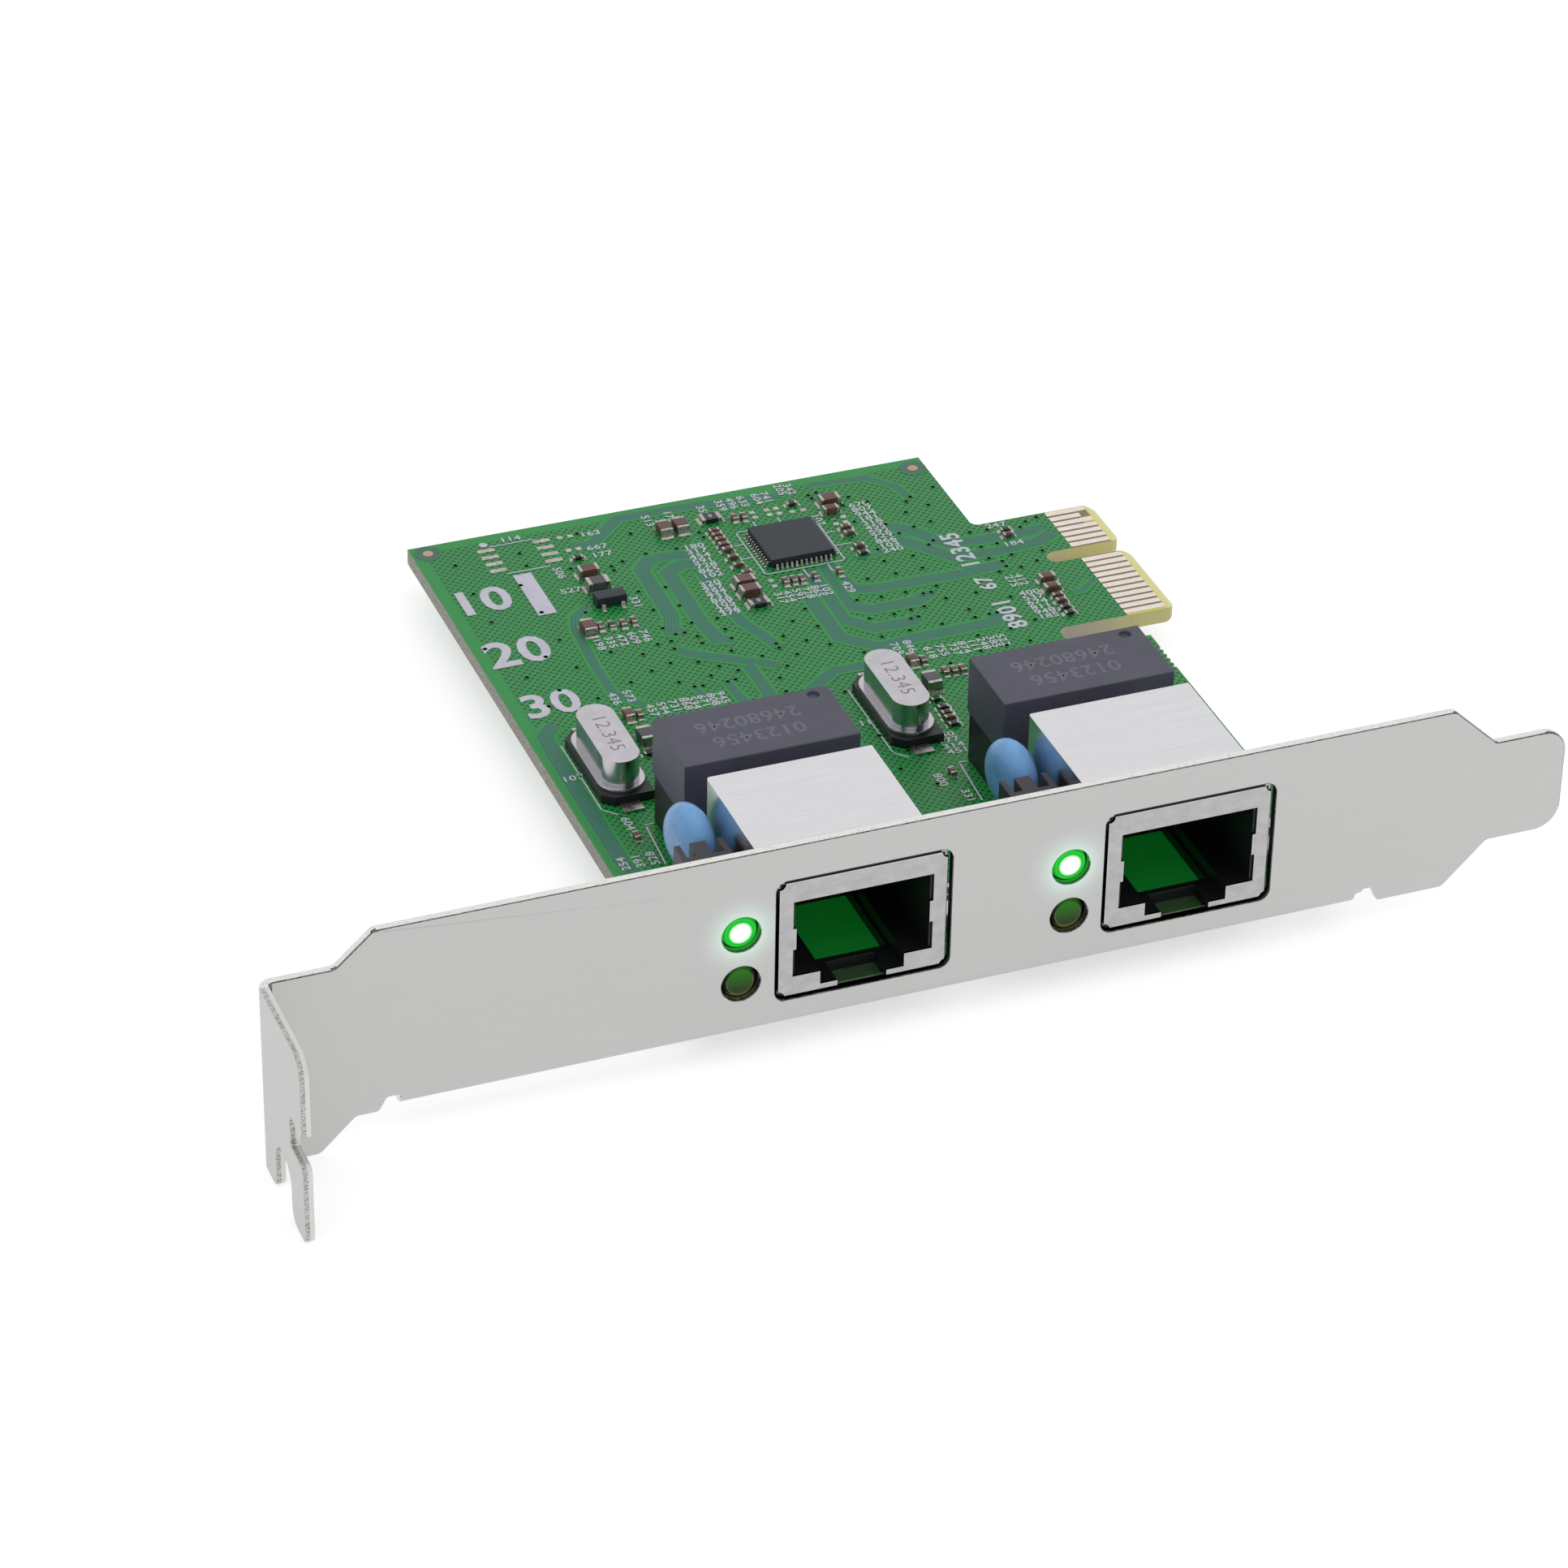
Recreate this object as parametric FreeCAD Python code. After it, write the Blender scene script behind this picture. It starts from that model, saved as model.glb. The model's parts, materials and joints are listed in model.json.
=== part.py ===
import FreeCAD, Part
import math
import os

V = FreeCAD.Vector
os.makedirs("parts", exist_ok=True)

# overall sizes of the bracket, millimetres
bracketLength = 120.02
bracketWidth = 18.42
sheet = 0.86
tabDepth = 11.43
tabDrop = 3.10
tongueLow = 4.10
tongueWidth = 10.19
foldInner = 0.36
foldOuter = foldInner + sheet
tabInner = 0.40
tabOuter = tabInner + sheet

# flange folded under the board, and its two ears
flangeStart = 11.90
flangeEnd = 100.30
flangeDepth = 3.20
earPositions = [64.90, 95.10]
earCentreY = 7.40
earRadius = 3.30
bossRadius = 2.30
bossDrop = 0.90
screwRadius = 1.50

# tab slot for the chassis screw
slotCentreY = -5.50
slotRadius = 2.20

# board
boardThick = 1.60
boardLow = sheet
boardTop = boardLow + boardThick
boardLeft = 38.90
boardRight = 100.00
boardStepX = 91.85
boardFront = 1.25
boardBack = 82.00
tongueNear = 47.85
tongueWide = 20.15
tongueBack = tongueNear + tongueWide
notchWide = 3.95
notchNear = tongueNear - notchWide
notchEndX = 92.15
keyWide = 1.94
keyCentre = tongueNear + 12.10
keyNear = keyCentre - keyWide / 2
keyFar = keyCentre + keyWide / 2
tipX = 104.40
keyEndX = tipX - 7.10
boardHole = 1.60

# edge contacts
fingerPitch = 1.00
fingerWide = 0.70
fingerStart = tipX - 5.06
fingerEnd = tipX - 0.98
fingerThick = 0.04
pinOneY = tongueNear + 0.61
keyGap = 2.00

# ports
portCentres = [53.42, 83.72]
windowHalf = 8.03
windowLow = 2.70
windowHigh = 14.95
windowRound = 1.00
ledOffset = -11.15
ledHeights = [5.39, 10.43]
ledHole = 1.75
ledRadius = 1.62
ledFlat = 1.12
ledFront = 0.28
ledBack = 2.00

# jack shield and insulator
shieldHalf = 7.72
shieldFront = 0.15
shieldBack = 17.90
shieldTop = 14.60
shieldSheet = 0.25
shieldLift = 2.90
cornerRelief = 0.20
openHalf = 6.40
openLow = 4.88
openHigh = 12.55
springHalf = 6.10
springLow = 7.65
springHigh = 9.80
stepHalf = 3.85
stepLow = 3.55
latchHalf = 2.25
cavityHalf = 6.15
cavityBack = 13.40
cavityHigh = 12.40
latchDeep = 3.00
floorGapLeft = 2.90
floorGapRight = 3.60
floorGapFront = 3.70
springWide = 0.36
springPitch = 1.02

# transformer block behind each jack
blockHalf = 8.30
blockFront = 21.90
blockBack = 30.20
blockSeam = 7.60
blockTop = 13.20
blockInset = 0.18

# disc capacitor beside each shield
discAside = 9.78
discY = 16.50
discZ = 9.50
discRadius = 3.30
discThick = 3.40
discLead = 1.90
discRound = 2.40
discTurn = 10

# holder behind the LEDs
holderLeft = 1.66
holderRight = 2.90
holderBack = 10.30
holderTop = 12.00
combBack = 12.35

# origin of the shared frame: middle of the footprint, lowest point of the tab
originX = bracketLength / 2
originY = (boardBack - tabDepth) / 2
originZ = -tabDrop


def save(name, shapes):
    shape = shapes if isinstance(shapes, Part.Shape) else Part.makeCompound(shapes)
    moved = shape.copy()
    moved.translate(V(-originX, -originY, -originZ))
    moved.exportStep("parts/" + name + ".step")


def box(x0, x1, y0, y1, z0, z1):
    return Part.makeBox(x1 - x0, y1 - y0, z1 - z0, V(x0, y0, z0))


def post(x, y, z0, z1, radius):
    return Part.makeCylinder(radius, z1 - z0, V(x, y, z0), V(0, 0, 1))


def tube(x, y0, y1, z, radius):
    return Part.makeCylinder(radius, y1 - y0, V(x, y0, z), V(0, 1, 0))


def facets(centre, axis, sections, sides):
    rings = []
    for level, radius in sections:
        ring = []
        for i in range(sides):
            turn = (i + 0.5) * 2 * math.pi / sides
            a = radius * math.cos(turn)
            b = radius * math.sin(turn)
            step = {"X": V(level, a, b), "Y": V(a, level, b), "Z": V(a, b, level)}[axis]
            ring.append(centre + step)
        rings.append(ring)
    faces = [Part.Face(Part.makePolygon(ring + ring[:1])) for ring in (rings[0], rings[-1])]
    for low, high in zip(rings, rings[1:]):
        for i in range(sides):
            j = (i + 1) % sides
            faces.append(Part.Face(Part.makePolygon([low[i], low[j], high[j], high[i], low[i]])))
    solid = Part.Solid(Part.Shell(faces))
    return solid if solid.Volume > 0 else solid.reversed()


def roundedFace(points, place):
    edges = []
    starts = []
    ends = []
    count = len(points)
    for i in range(count):
        x, y, r = points[i]
        ax, ay = points[i - 1][0], points[i - 1][1]
        bx, by = points[(i + 1) % count][0], points[(i + 1) % count][1]
        la = math.hypot(ax - x, ay - y)
        lb = math.hypot(bx - x, by - y)
        ua = ((ax - x) / la, (ay - y) / la)
        ub = ((bx - x) / lb, (by - y) / lb)
        if r <= 0:
            starts.append(place(x, y))
            ends.append(place(x, y))
            continue
        half = math.acos(max(-1.0, min(1.0, ua[0] * ub[0] + ua[1] * ub[1]))) / 2
        back = r / math.tan(half)
        reach = r / math.sin(half)
        mx, my = ua[0] + ub[0], ua[1] + ub[1]
        ml = math.hypot(mx, my)
        cx, cy = x + mx / ml * reach, y + my / ml * reach
        p1 = place(x + ua[0] * back, y + ua[1] * back)
        p2 = place(x + ub[0] * back, y + ub[1] * back)
        mid = place(cx - mx / ml * r, cy - my / ml * r)
        edges.append((i, Part.Arc(p1, mid, p2).toShape()))
        starts.append(p1)
        ends.append(p2)
    arcs = dict(edges)
    wire = []
    for i in range(count):
        if i in arcs:
            wire.append(arcs[i])
        nxt = starts[(i + 1) % count]
        if ends[i].distanceToPoint(nxt) > 1e-6:
            wire.append(Part.makeLine(ends[i], nxt))
    return Part.Face(Part.Wire(Part.__sortEdges__(wire)))


def plateXZ(points, y0, y1):
    face = roundedFace(points, lambda a, b: V(a, y0, b))
    return face.extrude(V(0, y1 - y0, 0))


def plateXY(points, z0, z1):
    face = roundedFace(points, lambda a, b: V(a, b, z0))
    return face.extrude(V(0, 0, z1 - z0))


def plateYZ(points, x0, x1):
    face = roundedFace(points, lambda a, b: V(x0, a, b))
    return face.extrude(V(x1 - x0, 0, 0))


def bridge(first, second):
    return first.fuse(second).removeSplitter()


# bracket body: one flat outline with its narrowed end, chamfers and tongue
tongueHigh = tongueLow + tongueWidth
leftTop = bracketWidth - tabDrop
body = plateXZ([
    (tabOuter, -tabDrop, 0),
    (4.80, -tabDrop, 1.0),
    (8.00, 0, 0.8),
    (10.00, 0, 0.5),
    (10.75, 1.30, 0.4),
    (flangeStart - 0.15, 1.30, 0),
    (flangeStart, foldOuter, 0),
    (flangeEnd, foldOuter, 0),
    (flangeEnd + 0.60, foldOuter, 0),
    (flangeEnd + 0.75, 1.50, 0),
    (flangeEnd + 1.55, 1.50, 0),
    (flangeEnd + 2.15, 0, 0.5),
    (108.85, 0, 0.8),
    (112.95, tongueLow, 0.8),
    (bracketLength, tongueLow, 2.4),
    (bracketLength, tongueHigh, 2.2),
    (113.10, tongueHigh, 0.4),
    (108.80, bracketWidth, 0.8),
    (9.95, bracketWidth, 0.8),
    (6.55, leftTop, 0.8),
    (tabOuter, leftTop, 0),
], 0, sheet)

# bend and tab turned towards the outside of the case
ringOuter = Part.makeCylinder(tabOuter, bracketWidth, V(tabOuter, -tabInner, -tabDrop), V(0, 0, 1))
ringInner = Part.makeCylinder(tabInner, bracketWidth, V(tabOuter, -tabInner, -tabDrop), V(0, 0, 1))
quarter = box(0, tabOuter, -tabInner, sheet, -tabDrop, leftTop)
tabBend = ringOuter.cut(ringInner).common(quarter)
tab = plateYZ([
    (-tabInner, leftTop, 0),
    (-tabDepth, leftTop, 2.0),
    (-tabDepth, 7.75, 0),
    (-8.00, 7.75, 0),
    (-8.00, 4.65, 0),
    (-tabDepth, 4.65, 0.8),
    (-tabDepth, -tabDrop, 0.7),
    (slotCentreY - slotRadius, -tabDrop, 1.5),
    (slotCentreY - slotRadius, 0, 0),
    (slotCentreY + slotRadius, 0, 0),
    (slotCentreY + slotRadius, -tabDrop, 0.9),
    (-tabInner, -tabDrop, 0.5),
], 0, sheet)
slotRound = Part.makeCylinder(slotRadius, sheet, V(0, slotCentreY, 0), V(1, 0, 0))
tab = tab.cut(slotRound)

# fold and flange under the board
foldStart = V(flangeStart, foldOuter, foldOuter)
foldA = Part.makeCylinder(foldOuter, flangeEnd - flangeStart, foldStart, V(1, 0, 0))
foldB = Part.makeCylinder(foldInner, flangeEnd - flangeStart, foldStart, V(1, 0, 0))
foldBox = box(flangeStart, flangeEnd, 0, foldOuter, 0, foldOuter)
fold = foldA.cut(foldB).common(foldBox)
flange = box(flangeStart, flangeEnd, foldOuter, flangeDepth, 0, sheet)
bracket = body.fuse([tabBend, tab, fold, flange])
for earX in earPositions:
    ear = plateXY([
        (earX - earRadius - 1.2, flangeDepth - 0.3, 0),
        (earX - earRadius - 1.2, flangeDepth, 0),
        (earX - earRadius, flangeDepth, 1.0),
        (earX - earRadius, earCentreY + earRadius, earRadius - 0.01),
        (earX + earRadius, earCentreY + earRadius, earRadius - 0.01),
        (earX + earRadius, flangeDepth, 1.0),
        (earX + earRadius + 1.2, flangeDepth, 0),
        (earX + earRadius + 1.2, flangeDepth - 0.3, 0),
    ], 0, sheet)
    boss = post(earX, earCentreY, -bossDrop, 0, bossRadius)
    bracket = bracket.fuse([ear, boss])
    bracket = bracket.cut(post(earX, earCentreY, -bossDrop - 1, sheet + 1, screwRadius))
for c in portCentres:
    window = plateXZ([
        (c - windowHalf, windowLow, windowRound),
        (c + windowHalf, windowLow, windowRound),
        (c + windowHalf, windowHigh, windowRound),
        (c - windowHalf, windowHigh, windowRound),
    ], -1, sheet + 1)
    bracket = bracket.cut(window)
    for h in ledHeights:
        bracket = bracket.cut(tube(c + ledOffset, -1, sheet + 1, h, ledHole))
save("bracket", bracket.removeSplitter())

# board with its notched connector tongue
board = plateXY([
    (boardLeft, boardFront, 0),
    (boardRight, boardFront, 0),
    (boardRight, notchNear, 0),
    (notchEndX, notchNear, 0.9),
    (notchEndX, tongueNear, 0.9),
    (tipX, tongueNear, 1.0),
    (tipX, keyNear, 1.0),
    (keyEndX, keyNear, 0),
    (keyEndX, keyFar, 0),
    (tipX, keyFar, 1.0),
    (tipX, tongueBack, 1.3),
    (boardStepX, tongueBack, 0.8),
    (boardStepX, boardBack, 0),
    (boardLeft, boardBack, 0),
], boardLow, boardTop)
board = board.cut(post(keyEndX, keyCentre, boardLow, boardTop, keyWide / 2))
bevelLong = 0.85
bevelDeep = 0.35
for low, high, away in ((boardTop, boardTop - bevelDeep, 0.2), (boardLow, boardLow + bevelDeep, -0.2)):
    wedge = Part.makePolygon([
        V(tipX - bevelLong, tongueNear - 1, low),
        V(tipX + 0.2, tongueNear - 1, high),
        V(tipX + 0.2, tongueNear - 1, low + away),
        V(tipX - bevelLong, tongueNear - 1, low + away),
        V(tipX - bevelLong, tongueNear - 1, low),
    ])
    board = board.cut(Part.Face(wedge).extrude(V(0, tongueBack - tongueNear + 2, 0)))
for earX in earPositions:
    board = board.cut(post(earX, earCentreY, 0, 4, boardHole))
for i in range(5):
    biteY = 38.20 + 0.80 * i
    bite = facets(V(boardRight, biteY, 0), "Z", ((boardLow, 0.27), (boardTop, 0.27)), 8)
    board = board.cut(bite)
save("circuit_board", board)

# edge contacts, both sides, one shorter contact on each side
front = []
rear = []
for n in range(1, 19):
    y = pinOneY + (n - 1) * fingerPitch + (keyGap if n > 11 else 0)
    endFront = fingerEnd - 0.90 if n == 17 else fingerEnd
    endRear = fingerEnd - 0.90 if n == 1 else fingerEnd
    half = fingerWide / 2
    front.append(box(fingerStart, endFront, y - half, y + half, boardTop, boardTop + fingerThick))
    rear.append(box(fingerStart, endRear, y - half, y + half, boardLow - fingerThick, boardLow))
save("edge_contacts_front", front)
save("edge_contacts_rear", rear)

joints = []
capacitorLeads = []
litLeds = []
darkLeds = []
for index, c in enumerate(portCentres):
    tag = "_" + str(index + 1)
    # folded shield, open towards the board
    shell = box(c - shieldHalf, c + shieldHalf, shieldFront, shieldBack, boardTop, shieldTop)
    inside = shieldHalf - shieldSheet
    insideTop = shieldTop - shieldSheet
    frontIn = shieldFront + shieldSheet
    backIn = shieldBack - shieldSheet
    shell = shell.cut(box(c - inside, c + inside, frontIn, backIn, boardTop - 1, insideTop))
    shell = shell.cut(box(c - 9, c + 9, shieldFront - 1, boardFront + 0.05, boardTop - 1, shieldLift))
    opening = plateXZ([
        (c - openHalf, openHigh, 0),
        (c - openHalf, springHigh, 0),
        (c - springHalf, springHigh, 0),
        (c - springHalf, springLow, 0),
        (c - openHalf, springLow, 0),
        (c - openHalf, openLow, 0),
        (c - stepHalf, openLow, 0),
        (c - stepHalf, stepLow, 0),
        (c - latchHalf, stepLow, 0),
        (c - latchHalf, boardTop - 1, 0),
        (c + latchHalf, boardTop - 1, 0),
        (c + latchHalf, stepLow, 0),
        (c + stepHalf, stepLow, 0),
        (c + stepHalf, openLow, 0),
        (c + openHalf, openLow, 0),
        (c + openHalf, springLow, 0),
        (c + springHalf, springLow, 0),
        (c + springHalf, springHigh, 0),
        (c + openHalf, springHigh, 0),
        (c + openHalf, openHigh, 0),
    ], shieldFront - 1, frontIn)
    shell = shell.cut(opening)
    for x in (c - shieldHalf, c + shieldHalf):
        shell = shell.cut(box(x - cornerRelief, x + cornerRelief, shieldFront - 1, sheet + 0.10,
                              shieldLift - cornerRelief, shieldLift + cornerRelief))
    save("jack_shield" + tag, shell)

    # insulator with plug cavity, latch channel and open floor
    housing = box(c - inside, c + inside, boardFront + 0.05, backIn, boardTop, insideTop)
    housing = housing.fuse(box(c - inside, c + inside, frontIn, boardFront + 0.05, shieldLift, insideTop))
    cavity = box(c - cavityHalf, c + cavityHalf, 0, cavityBack, openLow, cavityHigh)
    channel = box(c - stepHalf, c + stepHalf, 0, cavityBack, stepLow, openLow)
    latch = box(c - latchHalf, c + latchHalf, 0, latchDeep, boardTop - 1, stepLow)
    floorGap = box(c - floorGapLeft, c + floorGapRight,
                   floorGapFront, cavityBack - 0.2, boardTop - 1, stepLow)
    housing = housing.cut(cavity).cut(channel).cut(latch).cut(floorGap)
    save("jack_housing" + tag, housing.removeSplitter())

    # eight sprung contacts hanging from the cavity roof
    springs = []
    for i in range(8):
        x = c + (i - 3.5) * springPitch
        springs.append(plateYZ([
            (3.00, cavityHigh, 0),
            (8.00, cavityHigh, 0),
            (8.00, cavityHigh - 0.30, 0),
            (3.90, cavityHigh - 0.30, 0),
            (9.60, cavityHigh - 2.65, 0),
            (9.40, cavityHigh - 2.95, 0),
            (3.00, cavityHigh - 0.40, 0),
        ], x - springWide / 2, x + springWide / 2))
    save("jack_contacts" + tag, springs)

    # transformer block: carrier below, cover above, round dimple in the cover
    carrier = box(c - blockHalf + blockInset, c + blockHalf - blockInset,
                  blockFront + blockInset, blockBack - blockInset, boardTop, blockSeam)
    save("transformer_carrier" + tag, carrier)
    cover = box(c - blockHalf, c + blockHalf, blockFront, blockBack, blockSeam, blockTop)
    dimple = facets(V(c + 6.60, 29.20, blockTop), "Z", ((-0.35, 0.55), (1, 0.55)), 16)
    cover = cover.cut(dimple)
    save("transformer_cover" + tag, cover)

    # holder with comb ribs behind two flat-topped LEDs that reach into the bracket holes
    ledX = c + ledOffset
    holder = box(ledX - holderLeft, ledX + holderRight, ledBack, holderBack, boardTop, holderTop)
    for a, b in ((-holderLeft, -1.06), (-0.25, 1.22), (2.28, holderRight)):
        holder = holder.fuse(box(ledX + a, ledX + b, holderBack, combBack, boardTop, holderTop))
    save("led_holder" + tag, holder.removeSplitter())
    for h, group in ((ledHeights[0], darkLeds), (ledHeights[1], litLeds)):
        shoulder = ledRadius - ledFlat
        lens = [(ledBack, ledRadius)]
        for angle in (0, 30, 60, 90):
            turn = math.radians(angle)
            level = ledFront + shoulder * (1 - math.sin(turn))
            lens.append((level, ledFlat + shoulder * math.cos(turn)))
        group.append(facets(V(ledX, 0, h), "Y", lens, 24))

    # blue disc capacitor standing beside the shield
    discX = c - discAside
    rings = []
    for angle in (-90, -60, -30, 0, 30, 60, 90):
        turn = math.radians(angle)
        rings.append((discThick / 2 * math.sin(turn), discRadius - discRound * (1 - math.cos(turn))))
    disc = facets(V(discX, discY, discZ), "X", rings, 32)
    stemLow = discZ - discRadius - boardTop - 0.35
    feet = []
    for offset in (-discLead, discLead):
        foot = V(discX, discY + offset, boardTop)
        disc = disc.fuse(facets(foot, "Z", ((stemLow, 0.45), (stemLow + 1.90, 0.70)), 12))
        lead = facets(foot, "Z", ((0, 0.30), (stemLow, 0.30)), 10)
        lead.rotate(V(discX, discY, 0), V(0, 0, 1), discTurn)
        capacitorLeads.append(lead)
        turn = math.radians(discTurn)
        feet.append((discX - offset * math.sin(turn), discY + offset * math.cos(turn)))
    disc.rotate(V(discX, discY, 0), V(0, 0, 1), discTurn)
    save("disc_capacitor" + tag, disc)

    # solder joints of the wired parts
    spots = []
    for i in range(8):
        spots.append((c + (i - 3.5) * 1.27, 11.0 + (2.5 if i % 2 else 0)))
    for i in range(6):
        spots.append((c + (i - 2.5) * 2.54, 23.0))
        spots.append((c + (i - 2.5) * 2.54, 29.1))
    for x, y in ((ledX - 0.6, 6.5), (ledX + 1.9, 6.5), (ledX - 0.6, 9.0), (ledX + 1.9, 9.0)):
        spots.append((x, y))
    spots.extend(feet)
    for side in (-7.0, 7.0):
        spots.append((c + side, 14.5))
    for x, y in spots:
        joints.append(facets(V(x, y, boardLow), "Z", ((-0.75, 0.22), (0, 0.50)), 6))
save("link_leds", litLeds)
save("activity_leds", darkLeds)
save("capacitor_leads", capacitorLeads)
save("solder_joints", joints)


def stadium(x, y, halfWide, halfLong, z0, z1):
    r = halfWide - 0.001
    return plateXY([
        (x - halfWide, y - halfLong, r),
        (x + halfWide, y - halfLong, r),
        (x + halfWide, y + halfLong, r),
        (x - halfWide, y + halfLong, r),
    ], z0, z1)


# low crystals: base, flange, can and flat leads
crystalY = 39.20
baseTop = 3.40
flangeTop = 3.80
bases = []
flanges = []
crystalLeads = []
for index, x in enumerate((44.15, 72.25)):
    base = plateXY([
        (x - 2.40, crystalY - 4.90, 0),
        (x - 1.40, crystalY - 5.90, 0),
        (x + 2.40, crystalY - 5.90, 0),
        (x + 2.40, crystalY + 5.90, 0),
        (x - 1.40, crystalY + 5.90, 0),
        (x - 2.40, crystalY + 4.90, 0),
    ], boardTop, baseTop)
    bases.append(base)
    flanges.append(stadium(x, crystalY, 2.25, 5.55, baseTop, flangeTop))
    save("crystal_can_" + str(index + 1), stadium(x, crystalY, 1.78, 5.05, flangeTop, 6.45))
    crystalLeads.append(box(x - 0.95, x + 0.95, crystalY - 7.30, crystalY - 5.90, boardTop, boardTop + 0.25))
    crystalLeads.append(box(x - 0.95, x + 0.95, crystalY + 5.90, crystalY + 7.30, boardTop, boardTop + 0.25))
save("crystal_bases", bases)
save("crystal_flanges", flanges)
save("crystal_leads", crystalLeads)

# controller chip with twelve gull-wing leads a side
chipX = 73.85
chipY = 70.25
chipHalf = 3.25
chipLow = 2.58
chipTop = 3.42
chip = box(chipX - chipHalf, chipX + chipHalf, chipY - chipHalf, chipY + chipHalf, chipLow, chipTop)
save("controller_chip", chip)
leads = []
leadPitch = 0.50
reach = 0.60
for side in range(4):
    for i in range(12):
        offset = (i - 5.5) * leadPitch
        lead = plateXZ([
            (chipHalf, 3.00, 0),
            (chipHalf + 0.28, 3.00, 0),
            (chipHalf + 0.36, boardTop + 0.10, 0),
            (chipHalf + reach, boardTop + 0.10, 0),
            (chipHalf + reach, boardTop, 0),
            (chipHalf + 0.22, boardTop, 0),
            (chipHalf + 0.16, 2.90, 0),
            (chipHalf, 2.90, 0),
        ], offset - 0.11, offset + 0.11)
        lead.rotate(V(0, 0, 0), V(0, 0, 1), 90 * side)
        lead.translate(V(chipX, chipY, 0))
        leads.append(lead)
save("controller_leads", leads)

# three-leg regulator
regX = 53.97
regY = 66.35
save("regulator_body", box(regX - 1.50, regX + 1.50, regY - 0.75, regY + 0.75, boardTop + 0.10, 3.56))
legs = []
for x, way in ((regX - 0.97, -1), (regX + 0.97, -1), (regX, 1)):
    leg = plateYZ([
        (0.75, 3.00, 0),
        (1.08, 3.00, 0),
        (1.16, boardTop + 0.13, 0),
        (1.60, boardTop + 0.13, 0),
        (1.60, boardTop, 0),
        (1.03, boardTop, 0),
        (0.95, 2.86, 0),
        (0.75, 2.86, 0),
    ], -0.20, 0.20)
    leg.rotate(V(0, 0, 0), V(0, 0, 1), 0 if way > 0 else 180)
    leg.translate(V(x, regY, 0))
    legs.append(leg)
save("regulator_legs", legs)


def chipPart(x, y, along, length, width, height, end, bodies, ends):
    half = length / 2
    side = width / 2
    inner = half - end
    z0 = boardTop
    z1 = boardTop + height
    if along == "X":
        bodies.append(box(x - inner, x + inner, y - side, y + side, z0, z1))
        ends.append(box(x - half, x - inner, y - side, y + side, z0, z1))
        ends.append(box(x + inner, x + half, y - side, y + side, z0, z1))
    else:
        bodies.append(box(x - side, x + side, y - inner, y + inner, z0, z1))
        ends.append(box(x - side, x + side, y - half, y - inner, z0, z1))
        ends.append(box(x - side, x + side, y + inner, y + half, z0, z1))


# surface parts: name, length, width, height, end cap, places
families = (
    ("inductor", 2.20, 1.40, 1.05, 0.45, (
        (53.75, 69.15, "X"), (77.20, 42.60, "Y"), (49.05, 42.60, "Y"))),
    ("large_capacitor", 2.00, 1.25, 0.95, 0.35, (
        (67.10, 65.02, "X"), (67.00, 63.25, "X"), (80.22, 76.50, "X"), (53.70, 71.75, "X"),
        (63.20, 76.70, "Y"), (64.90, 76.75, "Y"),
        (50.34, 62.06, "Y"))),
    ("medium_capacitor", 1.60, 0.90, 0.75, 0.32, (
        (79.75, 74.95, "X"), (94.62, 56.20, "X"), (94.37, 54.40, "X"), (76.96, 46.77, "Y"),
        (48.86, 46.76, "Y"))),
    ("small_capacitor", 1.05, 0.55, 0.50, 0.24, (
        (70.47, 76.75, "Y"), (71.38, 76.65, "Y"), (67.72, 75.10, "X"), (67.74, 74.26, "X"),
        (67.76, 73.36, "X"), (67.74, 72.38, "X"), (67.74, 71.40, "X"), (67.73, 69.88, "X"),
        (67.75, 68.40, "X"), (68.00, 66.83, "X"), (80.00, 71.55, "X"), (79.92, 70.40, "X"),
        (79.94, 67.83, "X"), (70.90, 64.03, "Y"), (71.75, 64.05, "Y"), (72.55, 63.95, "Y"),
        (73.93, 63.99, "Y"), (76.44, 63.99, "Y"), (51.60, 62.26, "Y"), (53.75, 62.00, "Y"),
        (54.87, 62.18, "Y"), (77.98, 46.64, "Y"), (79.17, 44.11, "Y"), (80.02, 44.02, "Y"),
        (80.86, 44.00, "Y"), (76.57, 36.62, "X"), (73.31, 28.13, "Y"), (94.30, 64.95, "X"),
        (94.40, 53.08, "X"), (94.36, 52.10, "X"), (49.88, 46.66, "Y"), (42.87, 27.92, "Y"))),
    ("small_resistor", 1.05, 0.55, 0.38, 0.22, (
        (76.68, 77.50, "X"), (79.88, 66.60, "X"), (53.73, 74.86, "X"), (52.68, 62.28, "Y"),
        (76.62, 40.00, "X"), (76.70, 38.55, "X"), (76.66, 37.58, "X"), (76.56, 35.60, "X"),
        (94.45, 66.00, "X"), (94.33, 50.98, "X"), (94.31, 49.90, "X"), (48.55, 40.30, "X"))),
    ("zero_link", 2.00, 1.25, 0.52, 0.38, (
        (68.22, 77.45, "X"), (67.14, 61.30, "X"))),
)
for name, length, width, height, end, places in families:
    bodies = []
    ends = []
    for x, y, along in places:
        chipPart(x, y, along, length, width, height, end, bodies, ends)
    save(name + "_bodies", bodies)
    save(name + "_ends", ends)

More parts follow.
